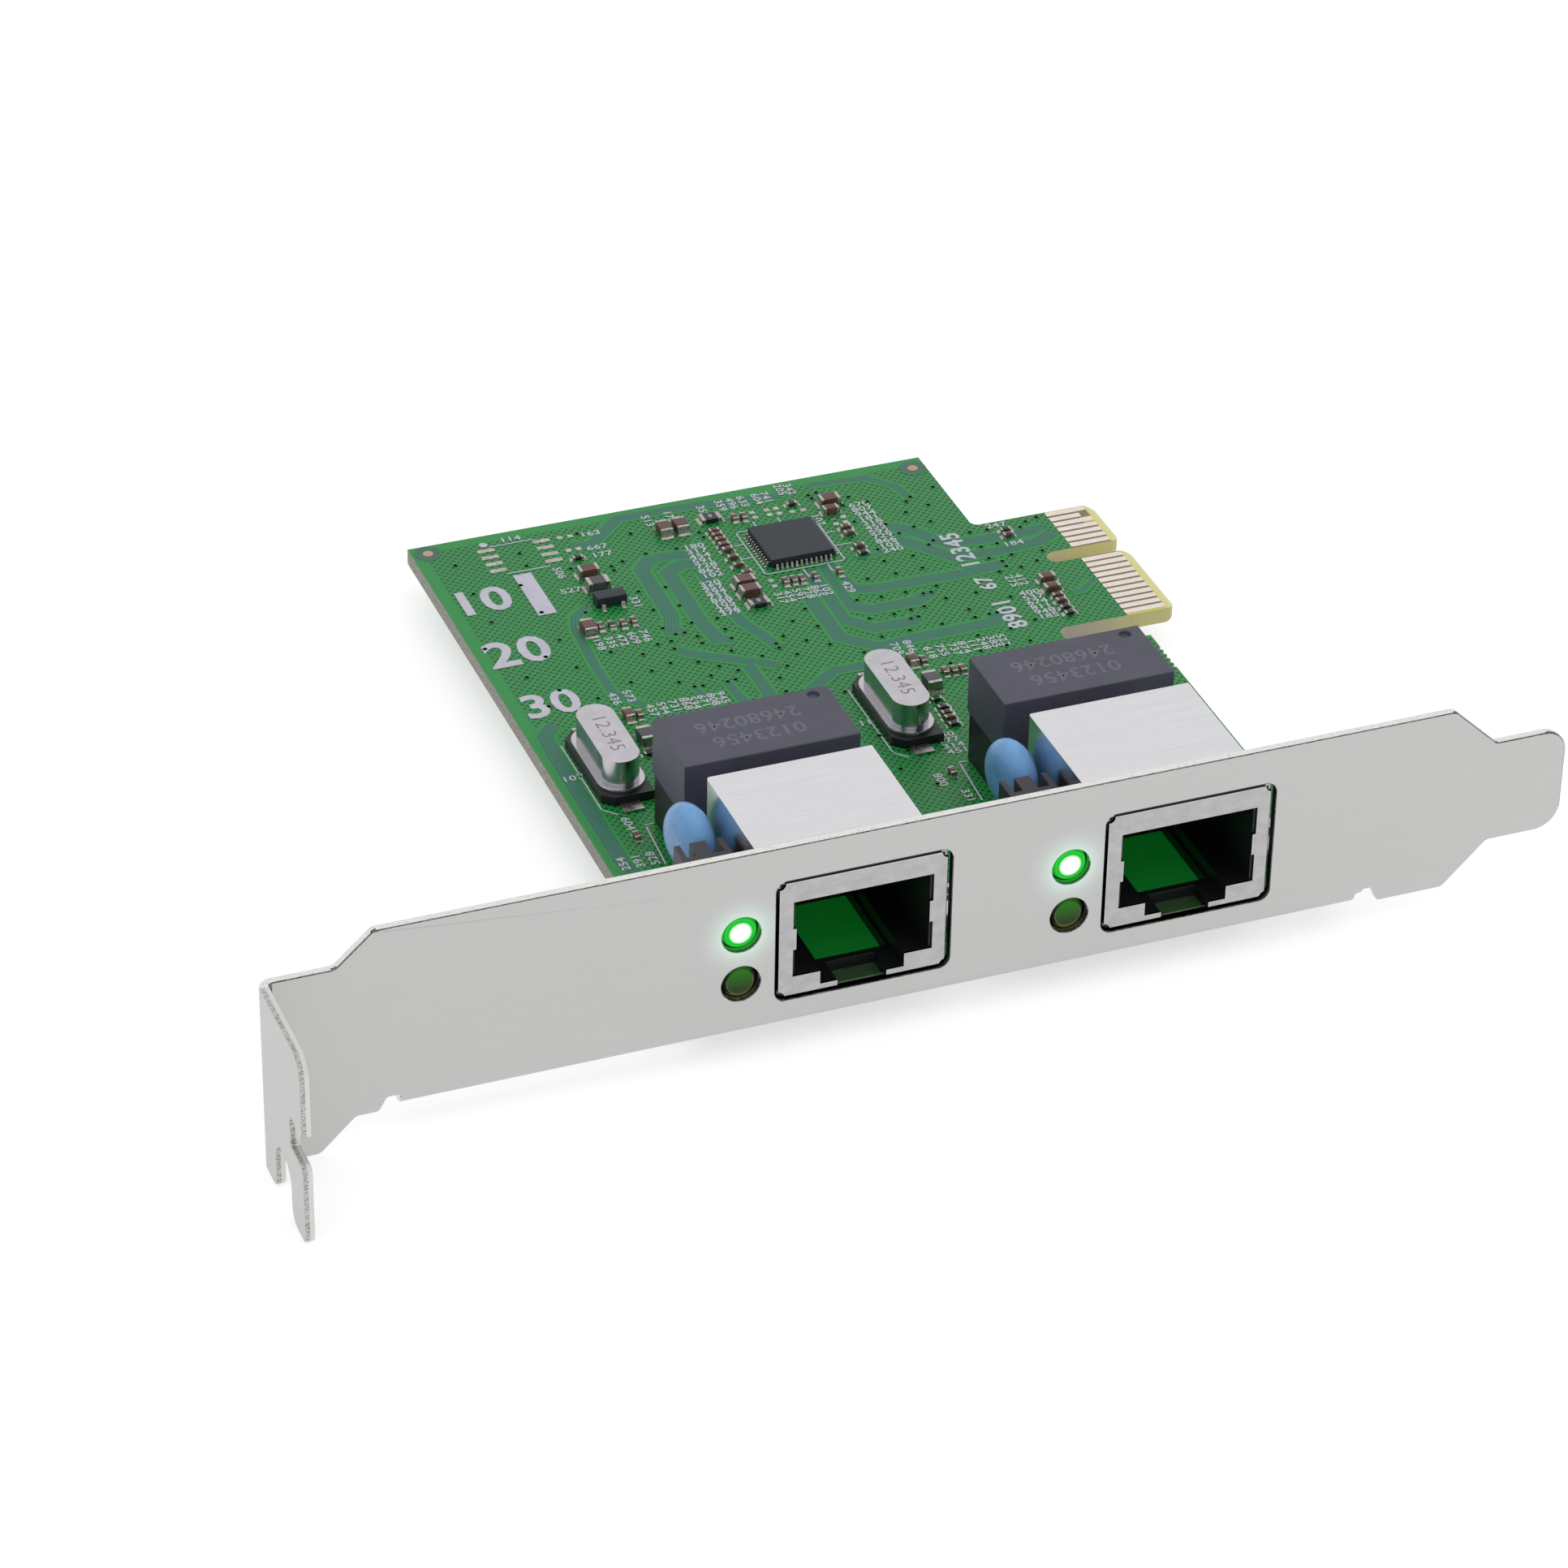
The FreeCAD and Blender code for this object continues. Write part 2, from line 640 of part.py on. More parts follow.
# bare pads that carry no part
padThick = 0.05
pads = []
for x, y in ((72.50, 77.45), (72.52, 76.45), (74.04, 77.42), (74.04, 76.46), (75.00, 77.42), (75.00, 76.40),
             (76.30, 76.30), (77.43, 76.25), (79.55, 73.72), (80.62, 73.72), (79.48, 72.70), (80.52, 72.70),
             (69.76, 64.94), (69.76, 63.90), (53.38, 79.16), (54.42, 79.13), (53.42, 76.66), (54.42, 76.65)):
    pads.append(box(x - 0.27, x + 0.27, y - 0.27, y + 0.27, boardTop, boardTop + padThick))
save("bare_pads", pads)
memory = []
for i in range(4):
    for x in (45.90, 51.50):
        y = 79.20 - 1.27 * i
        memory.append(box(x - 0.85, x + 0.85, y - 0.30, y + 0.30, boardTop, boardTop + padThick))
save("memory_pads", memory)

# two pan-head screws through the board into the ear bosses
recessClear = 3.00
screws = []
for earX in earPositions:
    domed = ((0, 2.75), (1.25, 2.75), (1.65, 2.52), (1.90, 2.00))
    head = facets(V(earX, earCentreY, boardTop), "Z", domed, 32)
    shank = post(earX, earCentreY, -bossDrop - 0.60, boardTop, screwRadius)
    screw = bridge(head, shank)
    for w, d in ((1.50, 0.35), (0.35, 1.50)):
        recess = box(earX - w, earX + w, earCentreY - d, earCentreY + d, boardTop + 1.00, boardTop + recessClear)
        screw = screw.cut(recess)
    screws.append(screw)
save("bracket_screws", screws)
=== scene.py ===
# Dual-port network card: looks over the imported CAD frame
import bmesh
import bpy
import json
import math
from functools import partial
from mathutils import Matrix, Vector


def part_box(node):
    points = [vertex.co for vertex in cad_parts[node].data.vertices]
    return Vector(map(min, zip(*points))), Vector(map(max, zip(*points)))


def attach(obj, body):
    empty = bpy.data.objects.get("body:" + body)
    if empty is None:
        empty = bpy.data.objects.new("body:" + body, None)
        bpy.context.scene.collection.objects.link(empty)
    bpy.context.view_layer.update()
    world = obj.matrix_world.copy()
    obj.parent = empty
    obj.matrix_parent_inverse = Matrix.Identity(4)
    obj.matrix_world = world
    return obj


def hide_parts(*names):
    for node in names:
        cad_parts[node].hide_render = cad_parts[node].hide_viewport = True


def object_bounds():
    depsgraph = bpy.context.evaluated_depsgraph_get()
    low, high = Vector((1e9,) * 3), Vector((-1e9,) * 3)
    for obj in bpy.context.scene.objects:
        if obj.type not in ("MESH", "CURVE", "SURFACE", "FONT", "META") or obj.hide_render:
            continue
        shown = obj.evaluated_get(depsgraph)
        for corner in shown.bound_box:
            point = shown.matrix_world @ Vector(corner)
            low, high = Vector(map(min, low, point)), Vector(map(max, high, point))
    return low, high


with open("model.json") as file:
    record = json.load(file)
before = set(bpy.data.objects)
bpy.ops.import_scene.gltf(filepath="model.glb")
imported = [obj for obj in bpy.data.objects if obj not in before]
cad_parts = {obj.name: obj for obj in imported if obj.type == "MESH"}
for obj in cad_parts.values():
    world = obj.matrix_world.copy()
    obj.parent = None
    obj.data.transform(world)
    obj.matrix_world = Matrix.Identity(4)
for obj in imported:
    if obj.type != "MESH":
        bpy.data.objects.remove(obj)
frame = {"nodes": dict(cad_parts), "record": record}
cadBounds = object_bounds()
print("frame loaded:", len(frame["nodes"]), "nodes")

# card millimetres: X from the tab, Y into the case from the bracket face, Z from the bracket's lower edge
card = {"boardFront": 1.25, "tabDrop": 3.10, "boardTop": 2.46}
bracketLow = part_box("bracket")[0]
boardLow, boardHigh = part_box("circuit_board")
cardZero = Vector((bracketLow.x, boardLow.y - card["boardFront"] / 1000,
                   bracketLow.z + card["tabDrop"] / 1000))


def at(x, y, z):
    return cardZero + Vector((x, y, z)) / 1000


def onCard(point):
    return (point - cardZero) * 1000


# node and colour helpers

def colour(code):
    parts = [int(code[i:i + 2], 16) / 255 for i in (1, 3, 5)]
    linear = [p / 12.92 if p <= 0.04045 else ((p + 0.055) / 1.055) ** 2.4 for p in parts]
    return (*linear, 1.0)


def addNode(tree, kind, *inputs, named={}, stops=(), output=None, **settings):
    # the kind may end in its operation or data type; a sum of more than two values takes several nodes
    kind, _, choice = kind.partition(" ")
    if kind == "Math" and len(inputs) > 2:
        inputs = (addNode(tree, "Math " + choice, *inputs[:-1]), inputs[-1])
    made = tree.nodes.new("ShaderNode" + kind)
    if choice:
        settings["data_type" if kind == "Mix" else "operation"] = choice
    for key, value in settings.items():
        setattr(made, key, value)
    for i, (position, code) in enumerate(stops):
        band = made.color_ramp.elements
        if i >= len(band):
            band.new(position)
        band[i].position = position
        band[i].color = colour(code)
    # inputs fill the open sockets in order, each with a number, a hex colour or another node's output
    pairs = list(zip([s for s in made.inputs if s.enabled], inputs))
    pairs += [(made.inputs[key], value) for key, value in named.items()]
    for socket, value in pairs:
        if isinstance(value, bpy.types.NodeSocket):
            tree.links.new(value, socket)
        elif value is not None:
            socket.default_value = colour(value) if isinstance(value, str) else value
    results = {s.name: s for s in made.outputs if s.enabled}
    if isinstance(output, tuple):
        return [results[name] for name in output]
    return results[output] if output else next(iter(results.values()), None)


def newMaterial(name):
    made = bpy.data.materials.new(name)
    made.use_nodes = True
    made.node_tree.nodes.clear()
    return made, partial(addNode, made.node_tree)


def finishMaterial(add, sockets, height=None, relief=0.0):
    # relief is how far the height pattern stands out, in millimetres
    if height is not None:
        sockets["Normal"] = add("Bump", named={"Distance": relief / 1000, "Height": height})
    add("OutputMaterial", add("BsdfPrincipled", named=sockets))


def grain(add, sizes, detail=3.0, rough=0.55):
    # sizes are the pattern's feature lengths along X, Y and Z in millimetres
    spread = add("Mapping", add("TexCoord", output="Object"), named={"Scale": [1000 / s for s in sizes]})
    return add("TexNoise", spread, named={"Scale": 1.0, "Detail": detail, "Roughness": rough})


def placeAndFacing(add):
    # each point's place in metres and its outward direction, both as X, Y and Z
    sources = (add("TexCoord", output="Object"), add("NewGeometry", output="Normal"))
    return [add("SeparateXYZ", source, output=("X", "Y", "Z")) for source in sources]


def inside(add, place, **limits):
    # one between the card's limits in millimetres, such as x=(low, high), and zero elsewhere
    tests = []
    for axis, (low, high) in limits.items():
        i = "xyz".index(axis)
        for operation, limit in (("GREATER_THAN", low), ("LESS_THAN", high)):
            if limit is not None:
                tests.append(add("Math " + operation, place[i], cardZero[i] + limit / 1000))
    return add("Math MULTIPLY", 1.0, *tests)


def distanceFrom(add, place, centres):
    # metres to the nearest of the lines that run straight into the card through the centres
    found = []
    for centre in centres:
        x, z = [add("Math SUBTRACT", place[i], centre[i]) for i in (0, 2)]
        squares = add("Math ADD", add("Math MULTIPLY", x, x), add("Math MULTIPLY", z, z))
        found.append(add("Math SQRT", squares))
    return add("Math MINIMUM", *found)


# materials, each named for what the real one is

steelLook = {
    "face": ((0.25, "#BCBCBB"), (0.75, "#C4C4C3")), "rough": (0.36, 0.47), "roughOver": (0.3, 0.7),
    "streak": (9.0, 0.10, 0.10), "streakHeight": 0.4, "speck": (0.22,) * 3, "speckHeight": 1.6,
    "relief": 0.004,
    # sheared edges: how far each flat side may lean, where the tab and the flange are, and the torn grain
    "stripLean": 0.35, "tabLean": 0.6, "flangeLean": 0.7, "frontLean": -0.8, "tabFrom": -0.4, "tabTo": 1.3,
    "flange": {"y": (1.0, None), "z": (None, 1.2)}, "torn": (0.35, 0.12, 0.12), "tornHeight": 4.0,
    "edge": ((0.30, "#8E8C88"), (0.44, "#E4E3E1")), "burr": ((0.36, "#6A6965"), (0.54, "#C4C3C1")),
    # the lip tones paint a dark reflection on the rounding from the front to the upper edges: a painted
    # reflection
    "lip": ((0.36, "#2B2A28"), (0.60, "#858480")), "lipTurn": (0.06, 0.985), "lipUp": -0.05,
    "smoothHalf": "#D2D1CF", "tornHalf": 0.42,
    # port windows, whose walls get painted shade, and lamp holes, with the green light of the lit lamps
    # painted on the sheet
    "shade": "#1C1B1A", "ports": (53.42, 83.72), "window": 8.20, "windowHeight": (2.50, 15.15),
    "ledHoles": ((42.27, 10.43), (72.57, 10.43)), "glow": "#B9F6DC",
    "glowReach": (1.7, 5.0), "glowFall": 2.7, "glowPower": 0.30, "wallGlow": "#0A5A14", "wallFrom": 0.97,
}


def rolledNickelSteel():
    # nickel-plated cold-rolled sheet: satin grey, faint lengthwise streaks, torn bright edges, with painted
    # shade in the port windows, a painted dark reflection on the rounded lip, and painted green light round
    # the lit lamps
    made, add = newMaterial("rolled_nickel_steel")
    look = steelLook
    place, facing = placeAndFacing(add)
    lean = [add("Math ABSOLUTE", axis) for axis in facing]
    streak = grain(add, look["streak"], detail=4.0, rough=0.6)
    speck = grain(add, look["speck"], detail=2.0)
    torn = grain(add, look["torn"], detail=5.0, rough=0.7)
    # flat sides of the sheet, in the strip, in the tab and in the flange: all else is a sheared edge
    beyondFace = inside(add, place, y=(None, look["tabFrom"]))
    behindFace = add("Math SUBTRACT", 1.0, beyondFace)
    flatStrip = add("Math MULTIPLY", behindFace, add("Math GREATER_THAN", lean[1], look["stripLean"]))
    inTab = inside(add, place, x=(None, look["tabTo"]))
    flatTab = add("Math MULTIPLY", inTab, add("Math GREATER_THAN", lean[0], look["tabLean"]))
    inFlange = inside(add, place, **look["flange"])
    flatFlange = add("Math MULTIPLY", inFlange, add("Math GREATER_THAN", lean[2], look["flangeLean"]))
    flat = add("Math MAXIMUM", flatStrip, flatTab, flatFlange)
    # the rounded lip where the front turns to an upper sheared edge is rough, and painted dark as a painted
    # reflection of its curve
    frontness = add("Math MULTIPLY", facing[1], -1.0)
    turnFrom, turnTo = look["lipTurn"]
    lip = add("Math MULTIPLY", add("Math GREATER_THAN", frontness, turnFrom),
              add("Math LESS_THAN", frontness, turnTo),
              add("Math GREATER_THAN", facing[2], look["lipUp"]), behindFace)
    face = add("ValToRGB", streak, stops=look["face"])
    tornEdge, burr, lipPaintedReflection = [add("ValToRGB", torn, stops=look[kind]) for kind in ("edge", "burr", "lip")]
    # the tab's edge is torn in the outer half of its thickness and smooth in the inner half
    tabEdge = add("Mix RGBA", inside(add, place, x=(None, look["tornHalf"])), look["smoothHalf"], burr)
    # painted shade: the walls of the port windows are painted black for the dark gap behind them
    aside = [add("Math ABSOLUTE", add("Math SUBTRACT", place[0], at(x, 0, 0).x)) for x in look["ports"]]
    nearPort = add("Math LESS_THAN", add("Math MINIMUM", *aside), look["window"] / 1000)
    inWindow = add("Math MULTIPLY", nearPort, inside(add, place, z=look["windowHeight"]))
    edge = add("Mix RGBA", inWindow, add("Mix RGBA", beyondFace, tornEdge, tabEdge), look["shade"])
    paint = add("Mix RGBA", lip, add("Mix RGBA", flat, edge, face), lipPaintedReflection)
    # painted light: the sheet glows green round the lit lamps, and on the walls of their holes, for the
    # lamps' light falling on it
    far = distanceFrom(add, place, [at(x, 0, z) for x, z in look["ledHoles"]])
    glow = add("MapRange", far, look["glowReach"][0] / 1000, look["glowReach"][1] / 1000, 1.0, 0.0)
    front = add("Math LESS_THAN", facing[1], look["frontLean"])
    lit = add("Math MULTIPLY", add("Math POWER", glow, look["glowFall"]), front)
    inHole = add("Math GREATER_THAN", glow, look["wallFrom"])
    wall = add("Math MULTIPLY", inHole, add("Math SUBTRACT", 1.0, front))
    light = add("Mix RGBA", wall, add("Mix RGBA", lit, "#000000", look["glow"]), look["wallGlow"])
    rough = add("MapRange", streak, *look["roughOver"], *look["rough"])
    fine = add("Math ADD", add("Math MULTIPLY", speck, look["speckHeight"]),
               add("Math MULTIPLY", streak, look["streakHeight"]))
    height = add("Mix FLOAT", flat, add("Math MULTIPLY", torn, look["tornHeight"]), fine)
    finishMaterial(add, {"Metallic": 1.0, "Base Color": paint, "Roughness": rough, "Emission Color": light,
                         "Emission Strength": look["glowPower"]}, height, look["relief"])
    return made


# how far the tones of a plain finish mix, and how much its roughness changes with them
uneven = {"metal": (0.3, 0.7), "duller": (0.85, 1.2), "plastic": (0.35, 0.65), "broad": (3.0,) * 3,
          "fineShare": 0.6}


def plainMetal(name, light, dark, roughness, size, relief):
    # plated or tinned metal with a faint uneven tone, a little duller where it is lighter
    made, add = newMaterial(name)
    tone = grain(add, size)
    paint = add("ValToRGB", tone, stops=zip(uneven["metal"], (dark, light)))
    rough = add("MapRange", tone, *uneven["metal"], *[roughness * share for share in uneven["duller"]])
    finishMaterial(add, {"Metallic": 1.0, "Base Color": paint, "Roughness": rough}, tone, relief)
    return made


tinLook = {"top": ((0.3, "#D3D2D5"), (0.7, "#DAD9DC")), "front": ((0.35, "#ADACAD"), (0.62, "#BAB9BA")),
           "shade": "#232325", "brush": (7.0, 0.16, 7.0), "brushFront": (1.6, 1.6, 1.0), "gapBehind": 1.25,
           "frontLean": -0.8, "sideLean": -0.35, "rough": (0.20, 0.36), "relief": 0.003}


def tinnedShield():
    # tin-plated brass sheet: bright, faintly brushed, rougher on the face round the port, which is painted
    # darker than the top as painted shade
    made, add = newMaterial("tin_plated_brass")
    look = tinLook
    place, facing = placeAndFacing(add)
    brush = grain(add, look["brush"])
    brushFront = grain(add, look["brushFront"], detail=4.0, rough=0.65)
    front = add("Math LESS_THAN", facing[1], look["frontLean"])
    # the face round the port is painted darker than the top, as painted shade on the same tin
    top = add("ValToRGB", brush, stops=look["top"])
    face = add("ValToRGB", brushFront, stops=look["front"])
    # painted shade: the first stretch of its sides is painted near black, for the shade of the bracket's
    # window it stands in
    sideOn = add("Math GREATER_THAN", facing[1], look["sideLean"])
    sideGapShadePainted = add("Math MULTIPLY", sideOn, inside(add, place, y=(None, look["gapBehind"])))
    paint = add("Mix RGBA", sideGapShadePainted, add("Mix RGBA", front, top, face), look["shade"])
    rough = add("MapRange", front, 0, 1, *look["rough"])
    height = add("Mix FLOAT", front, brush, brushFront)
    finishMaterial(add, {"Metallic": 1.0, "Base Color": paint, "Roughness": rough}, height, look["relief"])
    return made


def mouldedPlastic(name, light, dark, roughness, grainSize, relief, ior=1.45):
    # filled resin or nylon: matt to satin, with the fine grain of the mould
    made, add = newMaterial(name)
    fine = grain(add, (grainSize,) * 3, detail=4.0)
    broad = grain(add, uneven["broad"], detail=2.0)
    mixed = add("Math ADD", add("Math MULTIPLY", fine, uneven["fineShare"]),
                add("Math MULTIPLY", broad, 1 - uneven["fineShare"]))
    paint = add("ValToRGB", mixed, stops=zip(uneven["plastic"], (dark, light)))
    finishMaterial(add, {"Base Color": paint, "Roughness": roughness, "IOR": ior}, fine, relief)
    return made


maskLook = {
    "plain": "#23923F", "field": "#2C9049", "dot": "#145030", "dotPitch": 0.785, "dotReach": (0.24, 0.39),
    "margin": 1.2, "mottle": (4.0,) * 3, "weave": (0.35, 0.35, 0.12), "weaveHeight": 0.3, "relief": 0.012,
    "ior": 1.5, "sheen": 0.26, "rough": (0.62, 0.30), "traceRough": 0.3, "traceRelief": 0.02,
    "trace": "#3A6A66", "gap": "#2B8058", "line": (0.18, 0.26),
    # bare laminate: the connector's end and sides, and the sawn edges of the board
    "bare": "#E2DA66", "bareRim": "#E4E4B8", "rim": (103.2, 104.5), "between": "#857A58",
    "tongueSide": "#E9E2A0", "tongueRoot": "#D9D0C2", "root": (93.0, 101.0),
    "sawn": (0.5, 0.5, 0.08), "sawnEdge": ((0.35, "#807E76"), (0.65, "#D4D1C8")), "topLean": 0.6,
    "pastMask": {"x": (99.42, None), "y": (46.0, None)}, "tongue": {"x": (92.4, None), "y": (47.7, None)},
    "contacts": {"x": (99.42, 103.42), "y": (48.1, 67.5)},
    "shortContact": {"x": (102.3, 103.42), "y": (64.96, 65.96)},
}


def solderMaskBoard():
    # green lacquer over a cross-hatched copper pour, glass-fibre resin on the cut edges and the connector end
    made, add = newMaterial("solder_mask_board")
    look = maskLook
    place, facing = placeAndFacing(add)
    # diamond lattice: a square one of pitch over root two, turned by 45 degrees
    side = look["dotPitch"] / math.sqrt(2) / 1000
    turned = add("Mapping", add("TexCoord", output="Object"), None, (0, 0, math.radians(45)), (1 / side,) * 3)
    cell = add("VectorMath SUBTRACT", add("VectorMath FRACTION", turned), (0.5, 0.5, 0.5))
    far = add("VectorMath LENGTH", add("VectorMath MULTIPLY", cell, (1, 1, 0)))
    dot = add("MapRange", far, *look["dotReach"], 1.0, 0.0)
    # plain margin along the board's sides
    edge = look["margin"] / 1000
    field = add("Math MULTIPLY", add("Math GREATER_THAN", place[0], boardLow.x + edge),
                add("Math GREATER_THAN", place[1], boardLow.y + edge),
                add("Math LESS_THAN", place[1], boardHigh.y - edge))
    ground = add("Mix RGBA", grain(add, look["mottle"]), look["plain"], look["field"])
    hatch = add("Math MULTIPLY", dot, field)
    mask = add("Mix RGBA", hatch, ground, look["dot"])
    # bare resin, lighter towards the connector's rim, and darker at the foot of its side
    rim, root = [add("MapRange", place[0], at(start, 0, 0).x, at(end, 0, 0).x, 0.0, 1.0)
                 for start, end in (look["rim"], look["root"])]
    bare = add("Mix RGBA", rim, look["bare"], look["bareRim"])
    tongueSide = add("Mix RGBA", root, look["tongueRoot"], look["tongueSide"])
    sawn = grain(add, look["sawn"], detail=4.0, rough=0.7)
    cut = add("ValToRGB", sawn, stops=look["sawnEdge"])
    shortContact = inside(add, place, **look["shortContact"])
    betweenContacts = add("Math SUBTRACT", inside(add, place, **look["contacts"]), shortContact)
    upright = add("Math GREATER_THAN", add("Math ABSOLUTE", facing[2]), look["topLean"])
    top = add("Mix RGBA", inside(add, place, **look["pastMask"]), mask, bare)
    skin = add("Mix RGBA", betweenContacts, top, look["between"])
    sides = add("Mix RGBA", inside(add, place, **look["tongue"]), cut, tongueSide)
    paint = add("Mix RGBA", upright, sides, skin)
    rough = add("MapRange", upright, 0, 1, *look["rough"])
    # weave of the glass cloth, and a hollow at each dot of the hatch
    weave = add("Math MULTIPLY", grain(add, look["weave"]), look["weaveHeight"])
    height = add("Math SUBTRACT", weave, hatch)
    finishMaterial(add, {"Base Color": paint, "Roughness": rough, "IOR": look["ior"],
                         "Specular IOR Level": look["sheen"]}, height, look["relief"])
    return made


def coveredTraces():
    # copper lines under the lacquer: U counts line pitches from either side of the run
    made, add = newMaterial("covered_traces")
    look = maskLook
    across = add("SeparateXYZ", add("UVMap", uv_map="runs"))
    offLine = add("Math ABSOLUTE", add("Math SUBTRACT", add("Math FRACT", across), 0.5))
    inGap = add("MapRange", offLine, *look["line"], 0.0, 1.0)
    inRun = add("Math GREATER_THAN", across, 1.0)
    lines = add("Mix RGBA", inGap, look["trace"], look["gap"])
    paint = add("Mix RGBA", inRun, look["plain"], lines)
    step = add("Math MULTIPLY", add("Math SUBTRACT", 1.0, inGap), inRun)
    finishMaterial(add, {"Base Color": paint, "Roughness": look["traceRough"], "IOR": look["ior"],
                         "Specular IOR Level": look["sheen"]}, step, look["traceRelief"])
    return made


lampLook = {
    "lit": ((0.54, "#FFFFFF"), (0.62, "#7DF08A"), (0.68, "#12C02C"), (0.77, "#0DB024"), (0.81, "#35D64C"),
            (0.86, "#0EB426"), (1.0, "#0A9A1E")),
    "litBody": "#032606", "litRough": 0.2, "sheen": 0.18,
    # the unlit lamp's tones change with height, painting the lens's light and shade, with a pale painted
    # highlight line
    "lens": ((0.25, "#33451A"), (0.85, "#2E8E12")), "lensRough": 0.15, "ringAt": (0.76, 0.79),
    "ring": ((0.0, "#8A8A2C"), (0.10, "#8A8A2C"), (0.26, "#0B0D04"), (0.75, "#0B0D04"), (1.0, "#2E8E12")),
    "line": "#7F9068", "highlightAt": 0.745, "highlightWide": 0.035, "highlightUpTo": 0.6,
}


def lampDistance(add, place, node):
    # distance from the axis of the nearer lamp of the pair, as a share of its radius
    low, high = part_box(node)
    radius = (high.z - low.z) / 2
    centres = [(x, 0, (low.z + high.z) / 2) for x in (low.x + radius, high.x - radius)]
    return add("Math DIVIDE", distanceFrom(add, place, centres), radius)


def litEpoxyLamp():
    # clear green epoxy with the die lit: white in the middle, green at the rim
    made, add = newMaterial("lit_epoxy_lamp")
    look = lampLook
    place = placeAndFacing(add)[0]
    light = add("ValToRGB", lampDistance(add, place, "link_leds"), stops=look["lit"])
    finishMaterial(add, {"Base Color": look["litBody"], "Roughness": look["litRough"],
                         "Emission Color": light, "Emission Strength": 1.0,
                         "Specular IOR Level": look["sheen"]})
    return made


def darkEpoxyLamp():
    # the same lamp with no light, its light and shade painted by height: green in its upper half, dark
    # between lens and rim, olive at the foot
    made, add = newMaterial("dark_epoxy_lamp")
    look = lampLook
    place = placeAndFacing(add)[0]
    far = lampDistance(add, place, "activity_leds")
    low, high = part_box("activity_leds")
    climb = add("MapRange", place[2], low.z, high.z, 0.0, 1.0)
    lens = add("ValToRGB", climb, stops=look["lens"])
    ring = add("ValToRGB", climb, stops=look["ring"])
    base = add("Mix RGBA", add("MapRange", far, *look["ringAt"], 0.0, 1.0), lens, ring)
    # a painted highlight: a thin pale line where the lens meets the ring, in the lower part
    offLine = add("Math ABSOLUTE", add("Math SUBTRACT", far, look["highlightAt"]))
    line = add("Math MULTIPLY", add("MapRange", offLine, 0.0, look["highlightWide"], 1.0, 0.0),
               add("Math LESS_THAN", climb, look["highlightUpTo"]))
    paint = add("Mix RGBA", line, base, look["line"])
    finishMaterial(add, {"Base Color": paint, "Roughness": look["lensRough"],
                         "Specular IOR Level": look["sheen"]})
    return made


# name, light tone, dark tone, roughness, grain in millimetres, relief in millimetres
metals = {
    "contact_gold": ("worn_gold_plate", "#EADFDA", "#DDD0C8", 0.25, (0.3,) * 3, 0.001),  # pale, rubbed thin
    "solder_tin": ("bright_solder", "#CFC9C4", "#8F8A86", 0.30, (0.25,) * 3, 0.01),  # lumpy, silvery
    "crystal_metal": ("drawn_nickel_silver", "#C2BFC4", "#B7B4B9", 0.20, (1.6, 1.6, 3.0), 0.001),  # cool
    "screw_steel": ("zinc_plated_steel", "#D2D3D6", "#B4B6BA", 0.28, (0.4,) * 3, 0.004),  # bluish, satin
    "copper": ("bare_copper_target", "#C9A392", "#B98C79", 0.35, (0.3,) * 3, 0.002),  # pinkish, dull
}
# the same for plastics and lacquers, and the IOR of some
plastics = {
    "black_insulator": ("glass_filled_nylon", "#16181B", "#0C0D0F", 0.42, 0.12, 0.004),  # deep black, satin
    "block_plastic": ("transfer_moulded_epoxy", "#525262", "#464654", 0.50, 0.10, 0.006),  # violet grey, matt
    "holder_plastic": ("moulded_nylon", "#3B3840", "#2C2A31", 0.5, 0.12, 0.004),  # charcoal
    "blue_coating": ("dipped_blue_epoxy", "#7FB4EA", "#6CA5DF", 0.26, 0.8, 0.01, 1.5),  # glossy, orange peel
    "chip_plastic": ("black_chip_epoxy", "#212C34", "#18222A", 0.50, 0.07, 0.005),  # fine matt, bluish
    "ceramic_brown": ("fired_ceramic", "#6B4A44", "#513633", 0.38, 0.2, 0.004),  # warm brown
    "ferrite_grey": ("ferrite", "#56575A", "#3F4043", 0.45, 0.15, 0.006),  # grey, a little rough
    "resistor_black": ("glazed_black_film", "#24262A", "#17181B", 0.34, 0.2, 0.003),  # black glaze
    "ink": ("silkscreen_ink", "#D6D4E0", "#C2C0CE", 0.6, 0.25, 0.004),  # cool white, chalky
    "mark": ("laser_mark", "#8E8389", "#7C7178", 0.4, 0.1, 0.002),  # metal burnt grey
    "blockMark": ("laser_mark_on_epoxy", "#666676", "#5A5A68", 0.30, 0.1, 0.002),  # a tone over the block
    # painted shade: the via's near-black disc stands in for the dark hole under the lacquer
    "via": ("tented_hole", "#020A05", "#010302", 0.9, 0.2, 0.002, 1.1),  # a dark hole under the lacquer
    "viaRing": ("lacquer_ring", "#23843A", "#1D7833", 0.3, 0.4, 0.002),  # lacquer, raised by the copper
    "maskDark": ("lacquer_on_bare_laminate", "#2A6E55", "#22624A", 0.3, 0.5, 0.002),  # no copper below
}
finishes = {
    "bracket_steel": rolledNickelSteel(), "shield_tin": tinnedShield(), "board_mask": solderMaskBoard(),
    "traces": coveredTraces(), "lit_lens": litEpoxyLamp(), "dark_lens": darkEpoxyLamp(),
}
finishes.update((finish, plainMetal(*look)) for finish, look in metals.items())
finishes.update((finish, mouldedPlastic(*look)) for finish, look in plastics.items())
print("materials:", len(finishes))


def dress(obj, finish):
    obj.data.materials.clear()
    obj.data.materials.append(finishes[finish])


